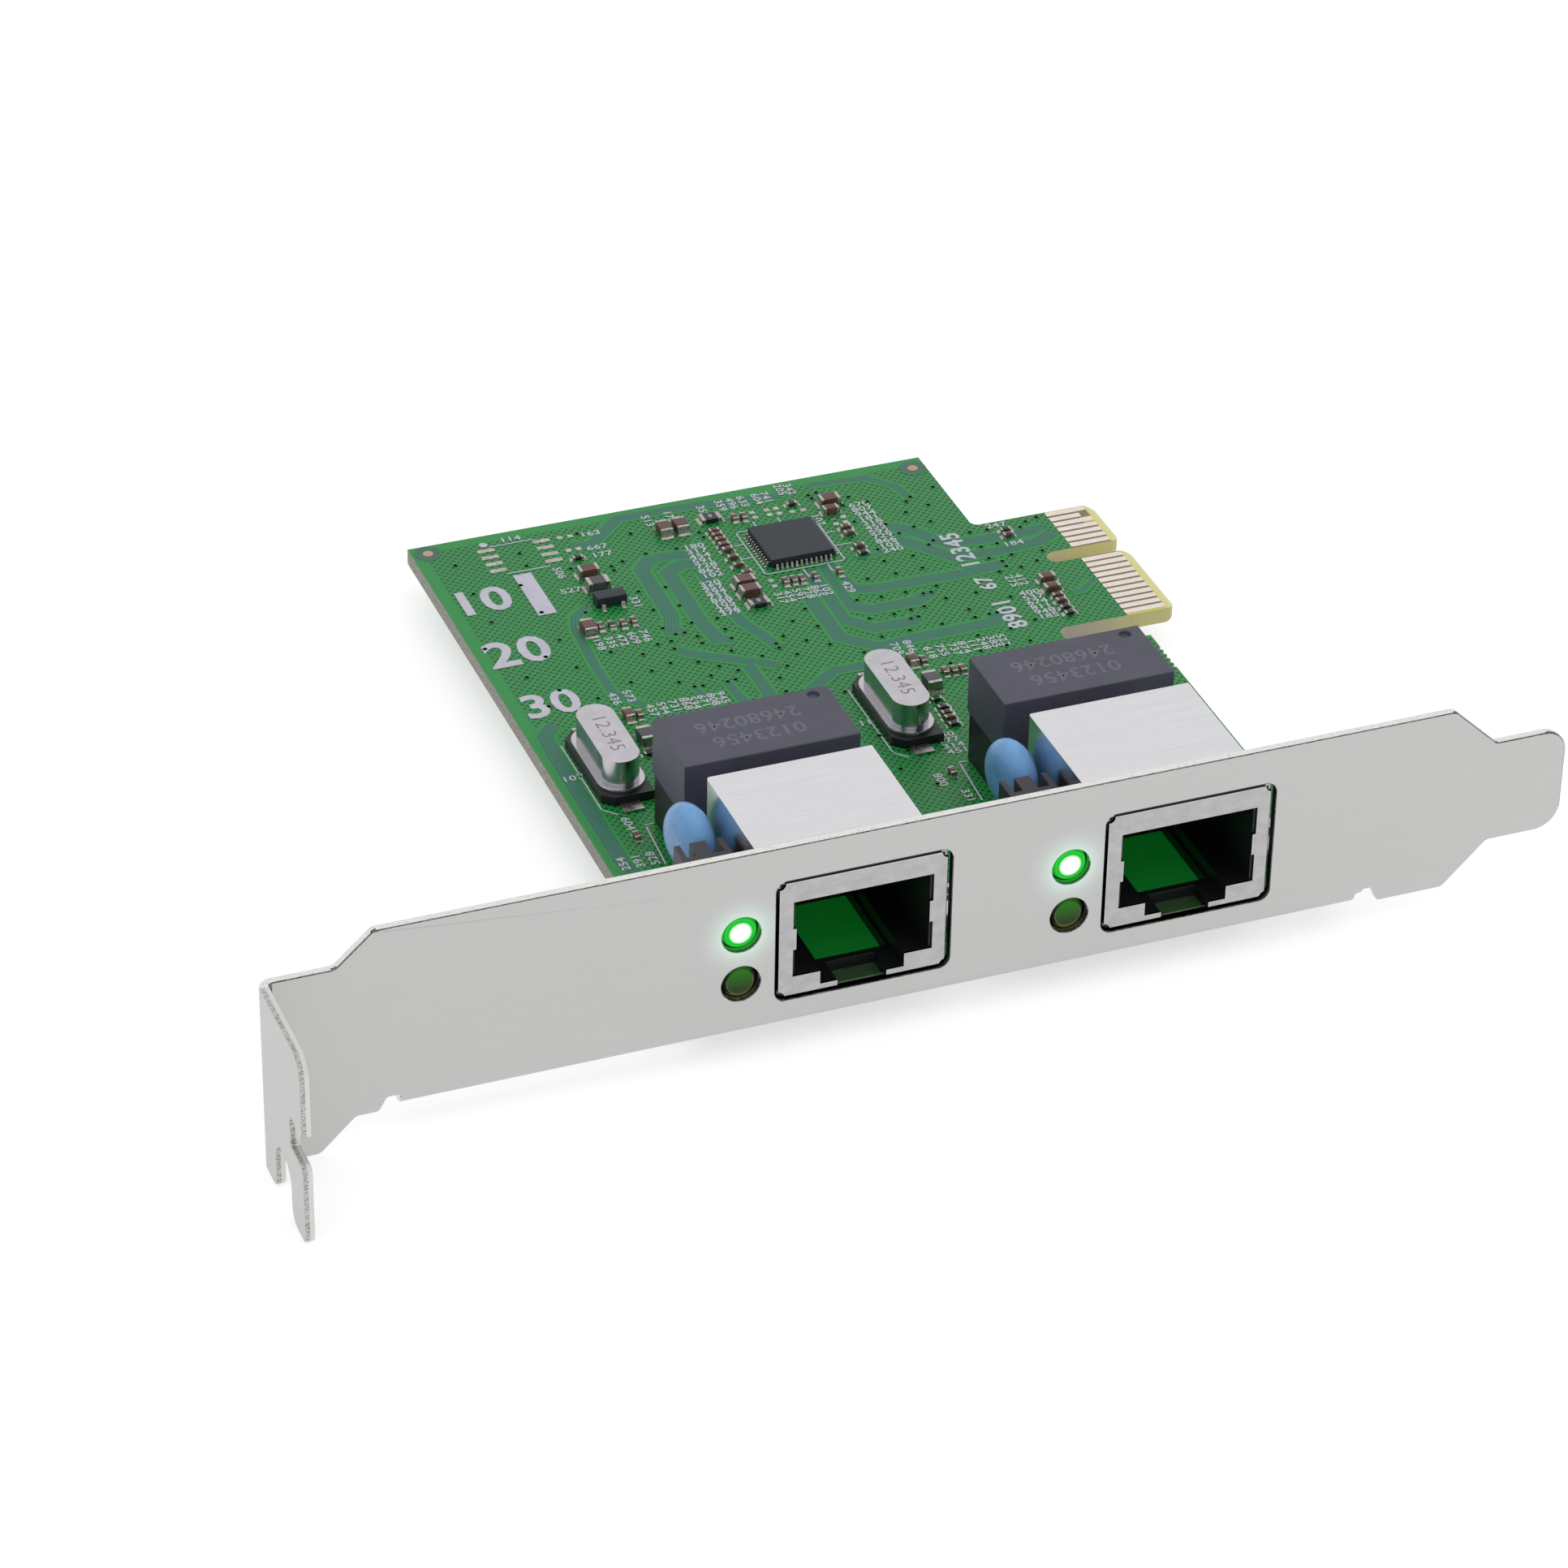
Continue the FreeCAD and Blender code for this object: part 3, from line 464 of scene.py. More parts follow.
slotOf = {entry["node"]: entry["material_slot"] for entry in frame["record"]["subparts"]}
for name, obj in frame["nodes"].items():
    dress(obj, slotOf[name])


# modelling helpers

touching = 0.00001  # metres within which a point counts as on a plane


def selectOnly(*objs):
    bpy.ops.object.select_all(action="DESELECT")
    for obj in objs:
        obj.select_set(True)
    bpy.context.view_layer.objects.active = objs[-1]


def settle(obj, name, finish, replaced=()):
    # place goes into the mesh, then the piece gets its name, finish and body
    selectOnly(obj)
    bpy.ops.object.transform_apply(location=True, rotation=True, scale=True)
    obj.name = name
    dress(obj, finish)
    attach(obj, "root")
    if replaced:
        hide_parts(*replaced)


def joined(objs):
    selectOnly(*objs)
    if len(objs) > 1:
        bpy.ops.object.join()
    return bpy.context.view_layer.objects.active


def useModifier(obj, kind, **settings):
    selectOnly(obj)
    made = obj.modifiers.new(kind.lower(), kind)
    for key, value in settings.items():
        setattr(made, key, value)
    bpy.ops.object.modifier_apply(modifier=made.name)


def copyOf(obj):
    made = obj.copy()
    made.data = obj.data.copy()
    bpy.context.collection.objects.link(made)
    return made


def put(obj, place, heading=0.0, size=(1, 1, 1)):
    # stretches the mesh, turns it about the upright axis by the heading in radians, and moves it
    sized = Matrix.Rotation(heading, 4, "Z") @ Matrix.Diagonal((*size, 1))
    obj.data.transform(Matrix.Translation(place) @ sized)
    return obj


def block(place, heading, size):
    # a box about its middle, in metres
    bpy.ops.mesh.primitive_cube_add(size=1, location=(0, 0, 0))
    return put(bpy.context.object, place, heading, size)


def roundPlate(radius, sides, thick=0.01):
    # a thin round plate about the origin, in millimetres
    bpy.ops.mesh.primitive_cylinder_add(vertices=sides, radius=radius / 1000, depth=thick / 1000,
                                        location=(0, 0, 0))
    return bpy.context.object


def selectWhere(obj, kind, test):
    # opens edit mode with only the faces or edges that pass the test selected
    bpy.ops.object.mode_set(mode="EDIT")
    bpy.ops.mesh.select_all(action="DESELECT")
    for item in getattr(bmesh.from_edit_mesh(obj.data), kind):
        item.select = test(item)
    bmesh.update_edit_mesh(obj.data)


def smoothByAngle(obj):
    selectOnly(obj)
    bpy.ops.object.shade_smooth_by_angle(angle=math.radians(rounding["smooth"]))


# in degrees: edges over sharp are rounded, those over smooth stay hard and those under flat are dissolved
rounding = {"sharp": 32, "smooth": 40, "flat": 0.6, "weld": 0.002, "wide": 0.3, "steps": 2, "wideSteps": 4}
shieldLook = {"bend": 0.24, "bendSteps": 5, "relief": 0.60, "reliefDeep": 0.7, "reliefSides": 20,
              "lift": 0.44}


def roundBends(obj, low, high, radius):
    # only the long outer bends of a folded box get this wide rounding
    work = bmesh.new()
    work.from_mesh(obj.data)
    weight = work.edges.layers.float.new("bevel_weight_edge")
    for e in work.edges:
        middle = (e.verts[0].co + e.verts[1].co) / 2
        onOuter = 0
        for i, end in ((0, low.x), (0, high.x), (1, low.y), (1, high.y), (2, high.z)):
            onOuter += all(abs(v.co[i] - end) < touching for v in e.verts)
        lift = middle.z - low.z - shieldLook["lift"] / 1000
        frontFoot = abs(middle.y - low.y) < touching and abs(lift) < 2 * touching
        if onOuter >= 2 or frontFoot:
            e[weight] = 1.0
    work.to_mesh(obj.data)
    work.free()
    useModifier(obj, "BEVEL", width=radius / 1000, segments=shieldLook["bendSteps"], limit_method="WEIGHT")


def cutReliefs(obj, low, high):
    # a punched relief in each corner of the face, black with the gap behind it
    cutters = []
    for x in (low.x, high.x):
        for z in (low.z + shieldLook["lift"] / 1000, high.z):
            cutter = roundPlate(shieldLook["relief"], shieldLook["reliefSides"], shieldLook["reliefDeep"])
            cutter.data.transform(Matrix.Rotation(math.radians(90), 4, "X"))
            cutters.append(put(cutter, (x, low.y, z)))
    cutter = joined(cutters)
    useModifier(obj, "BOOLEAN", object=cutter, operation="DIFFERENCE", solver="EXACT")
    bpy.data.objects.remove(cutter)


def softCopy(node, edge):
    # a copy of the CAD node with its loose triangles merged and its sharp edges rounded
    made = copyOf(frame["nodes"][node])
    made.parent = None
    for key in list(made.keys()):
        del made[key]
    selectOnly(made)
    bpy.ops.mesh.customdata_custom_splitnormals_clear()
    bpy.ops.object.mode_set(mode="EDIT")
    bpy.ops.mesh.select_all(action="SELECT")
    bpy.ops.mesh.remove_doubles(threshold=rounding["weld"] / 1000)
    bpy.ops.mesh.dissolve_limited(angle_limit=math.radians(rounding["flat"]))
    bpy.ops.object.mode_set(mode="OBJECT")
    if slotOf[node] == "shield_tin":
        low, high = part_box(node)
        roundBends(made, low, high, shieldLook["bend"])
        cutReliefs(made, low, high)
    steps = rounding["wideSteps" if edge > rounding["wide"] else "steps"]
    # the bracket's narrow relief slots would clamp its rounding everywhere
    useModifier(made, "BEVEL", width=edge / 1000, segments=steps, limit_method="ANGLE",
                angle_limit=math.radians(rounding["sharp"]), miter_outer="MITER_ARC",
                use_clamp_overlap=(node != "bracket"))
    smoothByAngle(made)
    # wide flat faces keep their own normals, the narrow roundings bend the light
    useModifier(made, "WEIGHTED_NORMAL", keep_sharp=True)
    settle(made, node + "_finished", slotOf[node], (node,))


# rounded copies of the nodes whose edges catch the light: edge radius in millimetres
softEdges = {
    "bracket": 0.13, "jack_shield_1": 0.03, "jack_shield_2": 0.03,
    "transformer_cover_1": 0.13, "transformer_cover_2": 0.13,
    "transformer_carrier_1": 0.10, "transformer_carrier_2": 0.10,
    "led_holder_1": 0.10, "led_holder_2": 0.10, "jack_housing_1": 0.08, "jack_housing_2": 0.08,
    "crystal_can_1": 0.34, "crystal_can_2": 0.34, "crystal_flanges": 0.13, "crystal_bases": 0.06,
    "crystal_leads": 0.05, "controller_chip": 0.06, "controller_leads": 0.02,
    "regulator_body": 0.10, "regulator_legs": 0.04, "inductor_bodies": 0.06, "inductor_ends": 0.09,
    "large_capacitor_bodies": 0.05, "large_capacitor_ends": 0.09,
    "medium_capacitor_bodies": 0.05, "medium_capacitor_ends": 0.08,
    "small_capacitor_bodies": 0.03, "small_capacitor_ends": 0.05,
    "small_resistor_bodies": 0.02, "small_resistor_ends": 0.04,
    "zero_link_bodies": 0.03, "zero_link_ends": 0.05, "bracket_screws": 0.08,
}
for node, radius in softEdges.items():
    softCopy(node, radius)
print("rounded copies:", len(softEdges))


# copper runs under the lacquer: corners on the board, number of lines
runs = {
    "pitch": 0.30, "lift": 0.012, "rise": 0.001, "start": 2.0, "middle": 0.2, "sharpest": 0.5,
    "paths": (
        (3, ((79.5, 80.5), (85.4, 80.0), (87.6, 77.5), (88.1, 75.0))),
        (5, ((83.9, 70.6), (85.8, 69.4), (88.2, 65.6), (94.1, 65.1), (98.4, 65.3))),
        (5, ((83.7, 68.2), (84.9, 67.1), (88.0, 63.0), (92.4, 62.8), (97.0, 63.2), (98.6, 64.2))),
        (5, ((75.9, 66.3), (76.5, 61.0), (78.7, 60.3), (87.7, 60.1), (91.3, 60.4), (92.2, 60.5))),
        (5, ((75.0, 65.6), (75.2, 58.0), (77.0, 56.9), (81.6, 56.9), (83.2, 57.9))),
        (5, ((73.9, 65.6), (73.7, 56.2), (76.0, 53.7), (79.6, 53.6), (80.5, 54.1))),
        (5, ((72.2, 60.6), (72.2, 53.2), (75.3, 50.4), (79.0, 50.8), (87.0, 50.9), (87.9, 52.2))),
        (4, ((76.1, 79.6), (67.5, 80.6), (59.8, 80.7), (57.6, 78.6), (55.9, 77.0), (53.9, 77.4))),
        (5, ((65.2, 71.9), (61.5, 72.5), (59.9, 72.3), (58.8, 70.9), (58.6, 62.1), (57.7, 59.5),
             (58.7, 58.9))),
        (5, ((64.6, 70.2), (62.6, 70.6), (61.0, 69.6), (60.9, 60.3), (61.3, 56.8), (62.6, 56.3))),
        (4, ((64.1, 68.8), (64.0, 62.9), (64.6, 58.6), (65.4, 56.5), (66.2, 53.6))),
        (4, ((57.0, 56.4), (57.9, 55.3), (65.1, 50.6))),
        (3, ((51.7, 66.4), (49.9, 64.8), (49.3, 62.8), (48.9, 56.3), (48.9, 51.0), (51.0, 48.3))),
        (5, ((42.0, 47.9), (40.6, 46.4), (40.4, 43.5), (40.4, 24.2), (41.6, 20.0))),
        (4, ((62.4, 51.6), (62.5, 46.3), (61.0, 43.5), (61.0, 34.0))),
        (2, ((56.3, 49.8), (56.6, 48.0), (57.3, 46.4), (57.3, 33.0))),
        (3, ((59.5, 49.5), (59.8, 46.0), (59.2, 40.0), (59.2, 33.0))),
        (4, ((75.7, 47.8), (69.6, 48.0), (66.6, 45.8), (66.6, 36.0), (67.6, 30.0))),
        (2, ((96.0, 53.4), (97.2, 53.4), (98.9, 54.9))),
        (2, ((82.0, 66.5), (80.6, 66.0), (79.0, 66.6))),
    ),
}


def layRun(path, lineCount, order):
    # each run lies a hair above the one before, so two that cross have one clear top
    lanes = lineCount + 2  # a pitch of plain lacquer on either side
    half = lanes * runs["pitch"] / 2000
    corners = [at(x, y, card["boardTop"] + runs["lift"] + order * runs["rise"]) for x, y in path]
    tangents = [(b - a).normalized() for a, b in zip(corners, corners[1:])]
    # a mitre at each corner keeps the run as wide round a bend
    mitres = []
    for i in range(len(corners)):
        before = tangents[max(i - 1, 0)]
        after = tangents[min(i, len(tangents) - 1)]
        middle = (before + after).normalized()
        across = Vector((-middle.y, middle.x, 0))
        mitres.append(across * half / max(runs["sharpest"], middle.dot(after)))
    bpy.ops.mesh.primitive_grid_add(x_subdivisions=1, y_subdivisions=2, size=runs["start"] / 1000,
                                    location=(0, 0, 0))
    strip = bpy.context.object
    bpy.ops.object.mode_set(mode="EDIT")
    work = bmesh.from_edit_mesh(strip.data)
    reach = [0.0]
    for a, b in zip(corners, corners[1:]):
        reach.append(reach[-1] + (b - a).length * 1000)

    def moveRow(verts, index, key):
        # key is where the row is now and which way it lies; a vertex near the middle stays on the path
        for v in verts:
            side = (v.co - key[0]).dot(key[1])
            side = 0 if abs(side) < half * runs["middle"] else math.copysign(1, side)
            v.co = corners[index] + mitres[index] * side

    rows = [[v for v in work.verts if v.co.x < 0], [v for v in work.verts if v.co.x > 0]]
    for index, row in enumerate(rows):
        moveRow(row, index, (Vector((0, 0, 0)), Vector((0, 1, 0))))
    ends = [v.co.copy() for v in rows[1]]
    for index in range(2, len(corners)):
        bpy.ops.mesh.select_all(action="DESELECT")
        work = bmesh.from_edit_mesh(strip.data)
        last = [v for v in work.verts if min((v.co - end).length for end in ends) < touching / 100]
        for v in last:
            v.select = True
        for e in work.edges:
            if all(v in last for v in e.verts):
                e.select = True
        bmesh.update_edit_mesh(strip.data)
        bpy.ops.mesh.extrude_region_move()
        work = bmesh.from_edit_mesh(strip.data)
        fresh = [v for v in work.verts if v.select]
        moveRow(fresh, index, (corners[index - 1], mitres[index - 1].normalized()))
        ends = [v.co.copy() for v in fresh]
    bmesh.update_edit_mesh(strip.data)
    bpy.ops.object.mode_set(mode="OBJECT")
    while strip.data.uv_layers:
        strip.data.uv_layers.remove(strip.data.uv_layers[0])
    layer = strip.data.uv_layers.new(name="runs")
    for loop in strip.data.loops:
        place = strip.data.vertices[loop.vertex_index].co
        index = min(range(len(corners)), key=lambda i: (place - corners[i]).length)
        middle = (place - corners[index]).length < half * runs["middle"]
        layer.data[loop.index].uv = (lanes / 2 if middle else 0.0, reach[index])
    return strip


strips = [layRun(path, lineCount, order) for order, (lineCount, path) in enumerate(runs["paths"])]
settle(joined(strips), "covered_traces", "traces")
print("runs:", len(strips))


# plated holes, tented with lacquer
vias = {
    "hole": 0.20, "holeSides": 12, "ring": 0.31, "ringSides": 16, "lift": 0.036, "holeOver": 0.010,
    "upright": 0.9, "inset": 0.6, "crown": 0.006,
    "spots": (
        (91.0, 76.1), (82.5, 77.1), (83.9, 75.6), (81.4, 75.7), (81.3, 72.5), (84.0, 71.0), (88.3, 70.1),
        (86.4, 69.7), (91.1, 66.9), (92.9, 66.8), (96.1, 66.2), (97.0, 67.0), (98.3, 67.4), (92.8, 64.1),
        (91.1, 64.0), (93.3, 61.7), (96.4, 61.4), (84.6, 69.0), (81.5, 66.9), (86.5, 66.1), (84.3, 64.7),
        (81.3, 64.7), (81.5, 62.2), (78.6, 62.2), (84.3, 62.3), (91.0, 61.8), (92.0, 60.9), (92.0, 59.9),
        (93.3, 59.3), (91.0, 59.2), (95.2, 59.9), (84.3, 58.8), (84.3, 56.4), (81.1, 58.7), (78.6, 58.7),
        (76.2, 58.9), (82.6, 57.9), (83.4, 57.9), (76.1, 55.4), (78.6, 55.4), (80.4, 55.6), (81.8, 55.7),
        (79.8, 54.1), (80.6, 54.2), (76.0, 52.0), (78.9, 52.2), (82.2, 52.2), (85.6, 53.8), (85.6, 52.3),
        (87.1, 52.4), (87.9, 52.4), (88.0, 49.3), (90.8, 50.0), (71.0, 59.1), (69.1, 57.4), (71.0, 55.8),
        (69.1, 53.8), (67.3, 55.2), (70.9, 52.4), (73.4, 50.0), (67.4, 51.8), (64.2, 52.6), (66.2, 54.2),
        (66.2, 53.4), (79.8, 78.9), (78.9, 78.7), (79.0, 78.0), (87.5, 74.4), (88.2, 75.1), (84.6, 49.2),
        (86.5, 46.7), (88.9, 46.7), (80.3, 45.5), (83.8, 46.6), (42.3, 77.6), (48.8, 77.7), (48.7, 75.3),
        (42.3, 72.1), (42.3, 66.7), (47.0, 72.1), (47.3, 66.8), (47.3, 61.6), (51.1, 58.0), (60.1, 77.6),
        (60.2, 73.6), (57.6, 73.0), (57.2, 67.3), (59.9, 67.2), (60.0, 63.6), (57.4, 63.7), (57.1, 60.3),
        (57.9, 58.9), (58.8, 58.9), (57.1, 57.9), (55.7, 57.8), (56.9, 56.5), (60.0, 60.3), (59.7, 56.6),
        (62.6, 58.2), (62.6, 56.5), (61.8, 54.4), (62.6, 60.3), (58.2, 53.6), (59.7, 57.9), (51.2, 65.4),
        (56.3, 72.5), (56.3, 71.7), (55.2, 79.3), (52.5, 73.4), (66.4, 75.6), (66.5, 74.6), (55.7, 54.3),
        (63.3, 73.5), (42.3, 56.4), (47.2, 56.5), (51.1, 52.4), (47.3, 50.8), (55.3, 50.9), (56.4, 49.7),
        (57.2, 49.6), (58.5, 51.0), (59.6, 49.5), (60.4, 49.6), (61.2, 51.0), (59.8, 52.3), (64.4, 48.5),
        (64.1, 46.1), (69.2, 44.2), (42.6, 51.0), (65.8, 50.2), (69.4, 36.2), (71.0, 33.0), (69.2, 30.4),
        (71.4, 27.0), (40.2, 62.4), (45.1, 59.2), (44.4, 53.3), (53.6, 53.6), (53.8, 56.6), (87.4, 56.4),
        (90.2, 54.6), (87.2, 66.7), (89.3, 73.1), (86.7, 72.5)),
}


def strew(model, spots, lift):
    # copies of one model over the board, lifted by so many millimetres
    copies = [put(copyOf(model), at(x, y, card["boardTop"] + lift)) for x, y in spots]
    bpy.data.objects.remove(model)
    return joined(copies)


def addVias():
    # painted shade: a near-black disc over each via stands in for its dark hole
    hole = roundPlate(vias["hole"], vias["holeSides"])
    settle(strew(hole, vias["spots"], vias["lift"] + vias["holeOver"]), "via_holes", "via")
    ring = roundPlate(vias["ring"], vias["ringSides"])
    selectWhere(ring, "faces", lambda f: f.normal.z > vias["upright"])
    width = (vias["ring"] - vias["hole"]) * vias["inset"]
    bpy.ops.mesh.inset(thickness=width / 1000, depth=vias["crown"] / 1000)
    bpy.ops.object.mode_set(mode="OBJECT")
    settle(strew(ring, vias["spots"], vias["lift"]), "via_rings", "viaRing")


addVias()
print("plated holes:", len(vias["spots"]))


# silkscreen: plain numbers and outlines
silk = {
    "lift": 0.044, "thick": 0.006, "line": 0.15, "letter": 0.84, "widen": 1.2, "bold": 0.022,
    "largeBold": 0.035, "numbers": (100, 999), "groupStep": 7, "numberStep": 137,
    # first number, how many, X, Y, step X, step Y, turn
    "groups": (
        (59, 1, 62.4, 79.3, 0, 0, -90), (10, 1, 64.7, 79.4, 0, 0, -90), (36, 1, 68.1, 79.3, 0, 0, -90),
        (37, 3, 70.1, 79.7, 1.15, 0, -90), (72, 2, 73.9, 79.7, 0.95, 0, -90),
        (15, 2, 76.6, 80.6, 0.95, -0.2, -90), (140, 7, 65.0, 73.3, -0.02, -0.92, 0),
        (160, 8, 64.1, 66.4, 0.0, -0.80, 0), (210, 11, 82.9, 75.4, 0.0, -0.90, 0),
        (31, 6, 69.5, 61.7, 0.93, 0, -90), (47, 1, 76.3, 61.4, 0, 0, -90), (9, 1, 56.4, 78.9, 0, 0, 0),
        (81, 1, 56.2, 76.3, 0, 0, 0), (11, 1, 56.2, 74.9, 0, 0, 0), (58, 1, 51.2, 73.0, 0, 0, -90),
        (61, 1, 51.2, 69.6, 0, 0, 0), (33, 1, 56.3, 65.6, 0, 0, -90), (14, 5, 50.5, 59.6, 1.15, 0, -90),
        (21, 1, 94.0, 67.25, 0, 0, 0), (12, 1, 94.3, 63.6, 0, 0, 0), (25, 2, 91.4, 57.15, 0.95, 0, -90),
        (300, 6, 92.2, 54.7, 0.02, -0.90, 0), (87, 2, 76.5, 49.6, 1.3, 0, -90),
        (74, 2, 79.2, 47.9, 1.2, 0, -90), (91, 6, 81.6, 47.7, 0.98, 0, -90),
        (48, 2, 48.7, 50.2, 1.4, 0, -90), (51, 4, 51.3, 47.2, 1.1, 0, -90),
        (62, 4, 55.4, 47.1, 0.93, 0, -90), (72, 1, 42.9, 30.3, 0, 0, -90),
        (22, 3, 40.4, 24.4, 1.38, 0, 90), (1, 1, 40.7, 38.9, 0, 0, 0), (100, 1, 71.9, 27.5, 0, 0, -90),
        (33, 1, 73.3, 24.3, 0, 0, -90), (2, 1, 69.4, 38.6, 0, 0, 0), (120, 4, 75.0, 34.3, 0.1, -0.95, 0),
        (2, 1, 48.8, 80.5, 0, 0, 0), (1, 1, 78.1, 74.0, 0, 0, -90)),
    # larger plain numbers: text, X, Y, letter height, turn
    "large": (("8901", 89.0, 51.8, 1.9, 90), ("67", 89.0, 57.6, 1.7, 90), ("12345", 89.0, 64.1, 1.9, 90),
              ("10", 42.5, 70.4, 4.3, 0), ("20", 42.9, 60.7, 4.5, 0), ("30", 42.9, 51.2, 4.0, 0)),
    # straight lines, as X, Y of both ends
    "lines": (
        (69.7, 66.15, 77.85, 66.15), (77.85, 66.15, 77.85, 74.35), (77.85, 74.35, 69.7, 74.35),
        (69.7, 74.35, 69.7, 66.15), (72.0, 75.67, 72.0, 74.93), (74.52, 75.56, 74.52, 74.88),
        (77.96, 71.47, 78.8, 71.47), (77.96, 68.9, 79.56, 68.9), (68.83, 72.05, 69.49, 72.05),
        (68.46, 69.5, 69.5, 69.5), (73.45, 65.84, 73.45, 64.42), (76.0, 65.84, 76.0, 64.72),
        (46.58, 79.75, 50.79, 79.75), (46.55, 74.52, 50.77, 74.52), (41.45, 33.1, 41.45, 44.2),
        (41.45, 33.1, 42.5, 32.0), (69.55, 33.1, 69.55, 44.2), (69.55, 33.1, 70.6, 32.0),
        (44.3, 29.28, 43.9, 23.2), (74.6, 29.28, 74.2, 23.2), (44.3, 29.6, 45.0, 29.6),
        (74.6, 29.6, 75.3, 29.6)),
    # a filled block between two X and two Y, and a dot at X, Y with its radius and sides
    "block": (46.87, 48.68, 66.3, 74.0), "dot": (46.0, 80.3, 0.42, 20),
}


# plain figures: the size of the type for one unit of height, the space between figures, steps round a curve
figures = {"size": 1.36, "space": 1.05, "steps": 3}


def label(text, x, y, height, turn, z, thick, widen, bold):
    bpy.ops.object.text_add(location=(0, 0, 0))
    made = bpy.context.object
    made.data.body = text
    made.data.align_x = "CENTER"
    made.data.align_y = "CENTER"
    made.data.size = height * figures["size"] / 1000
    made.data.offset = height * bold / 1000
    made.data.extrude = thick / 2000
    made.data.resolution_u = figures["steps"]
    made.data.space_character = figures["space"]
    selectOnly(made)
    bpy.ops.object.convert(target="MESH")
    return put(made, at(x, y, z), math.radians(turn), (widen, 1, 1))


def bar(x0, y0, x1, y1, wide, z, thick):
    a = at(x0, y0, z)
    b = at(x1, y1, z)
    size = ((b - a).length + wide / 1000, wide / 1000, thick / 1000)
    return block((a + b) / 2, math.atan2(b.y - a.y, b.x - a.x), size)


def plate(x0, x1, y0, y1, z, thick):
    size = ((x1 - x0) / 1000, (y1 - y0) / 1000, thick / 1000)
    return block(at((x0 + x1) / 2, (y0 + y1) / 2, z), 0.0, size)


def addSilkscreen():
    z = card["boardTop"] + silk["lift"]
    lowest, highest = silk["numbers"]
    prints = []
    for first, count, x, y, stepX, stepY, turn in silk["groups"]:
        for i in range(count):
            # three figures that look as if they came by chance, and are the same each time
            number = lowest + (first * silk["groupStep"] + i * silk["numberStep"]) % (highest + 1 - lowest)
            prints.append(label(str(number), x + i * stepX, y + i * stepY, silk["letter"], turn, z,
                                silk["thick"], silk["widen"], silk["bold"]))
    for text, x, y, height, turn in silk["large"]:
        prints.append(label(text, x, y, height, turn, z, silk["thick"], 1.0, silk["largeBold"]))
    settle(joined(prints), "printed_numbers", "ink")
    marks = [bar(*ends, silk["line"], z, silk["thick"]) for ends in silk["lines"]]
    marks.append(plate(*silk["block"], z, silk["thick"]))
    x, y, *size = silk["dot"]
    marks.append(put(roundPlate(*size, silk["thick"]), at(x, y, z)))
    settle(joined(marks), "printed_outlines", "ink")
    print("printed numbers:", len(prints))


addSilkscreen()


# plain lacquer under each port, with painted light and shade: lighter green and a faint glow where the lamp
# beside it lights it, painted dull shade in the latch window
portFloor = {"side": (-4.2, 4.6), "deep": (1.32, 13.6), "lift": 0.010, "glow": 0.055, "litFrom": 3.4,
             "lit": "#1E9038", "shade": ((0.35, "#2C4A2B"), (0.65, "#3F5F3A")), "grain": (1.4, 0.18, 0.4),
             "emit": "#14F04C", "rough": 0.4, "ior": 1.4, "thick": 0.01}


def litLacquer():
    # lacquer over bare laminate, painted green and faintly glowing deep in the port where the lamp's light
    # reaches it: painted light
    made, add = newMaterial("lacquer_with_painted_lamp_light")
    look = portFloor
    inPort = inside(add, placeAndFacing(add)[0], y=(look["litFrom"], None))
    dull = add("ValToRGB", grain(add, look["grain"]), stops=look["shade"])
    paint = add("Mix RGBA", inPort, dull, look["lit"])
    # painted light: a faint green emission on the lacquer deep in the port
    paintedLampGlow = add("Mix RGBA", inPort, "#000000", look["emit"])
    finishMaterial(add, {"Base Color": paint, "Roughness": look["rough"], "IOR": look["ior"],
                         "Emission Color": paintedLampGlow, "Emission Strength": look["glow"]})
    return made


def middleTop(low, high):
    # X and Y of a box's middle and Z of its top, in card millimetres
    middle = onCard((low + high) / 2)
    return middle.x, middle.y, onCard(high).z


def addPortFloors():
    finishes["litLacquer"] = litLacquer()
    z = card["boardTop"] + portFloor["lift"]
    left, right = portFloor["side"]
    made = []
    for node in ("jack_housing_1", "jack_housing_2"):
        middle = middleTop(*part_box(node))[0]
        made.append(plate(middle + left, middle + right, *portFloor["deep"], z, portFloor["thick"]))
    settle(joined(made), "port_floors", "litLacquer")


addPortFloors()


# round copper targets in the two back corners, each in a ring of darker laminate
targets = {"spots": ((90.52, 80.19), (40.52, 80.58)), "copper": 0.50, "clear": 1.35, "sides": 32,
           "lift": 0.014, "copperLift": 0.026}


def addTargets():
    for name, finish, radius, lift in (("target_rings", "maskDark", targets["clear"], targets["lift"]),
                                       ("target_discs", "copper", targets["copper"], targets["copperLift"])):
        plates = strew(roundPlate(radius, targets["sides"]), targets["spots"], lift)
        settle(plates, name, finish)


addTargets()


# solder pads and fillets at the ends of the surface parts
solder = {"padReach": 0.10, "padSide": 0.05, "padThick": 0.03, "filletReach": 0.22, "filletHeight": 0.72,
          "filletWide": 0.96, "fullFrom": 0.9, "least": 0.3,
          # how far the hollow has fallen at each share of the way, in shares of the height
          "hollow": ((0.25, 0.45), (0.55, 0.75), (1.0, 0.95)), "near": 0.01}
families = ("inductor", "large_capacitor", "medium_capacitor", "small_capacitor", "small_resistor",
            "zero_link")


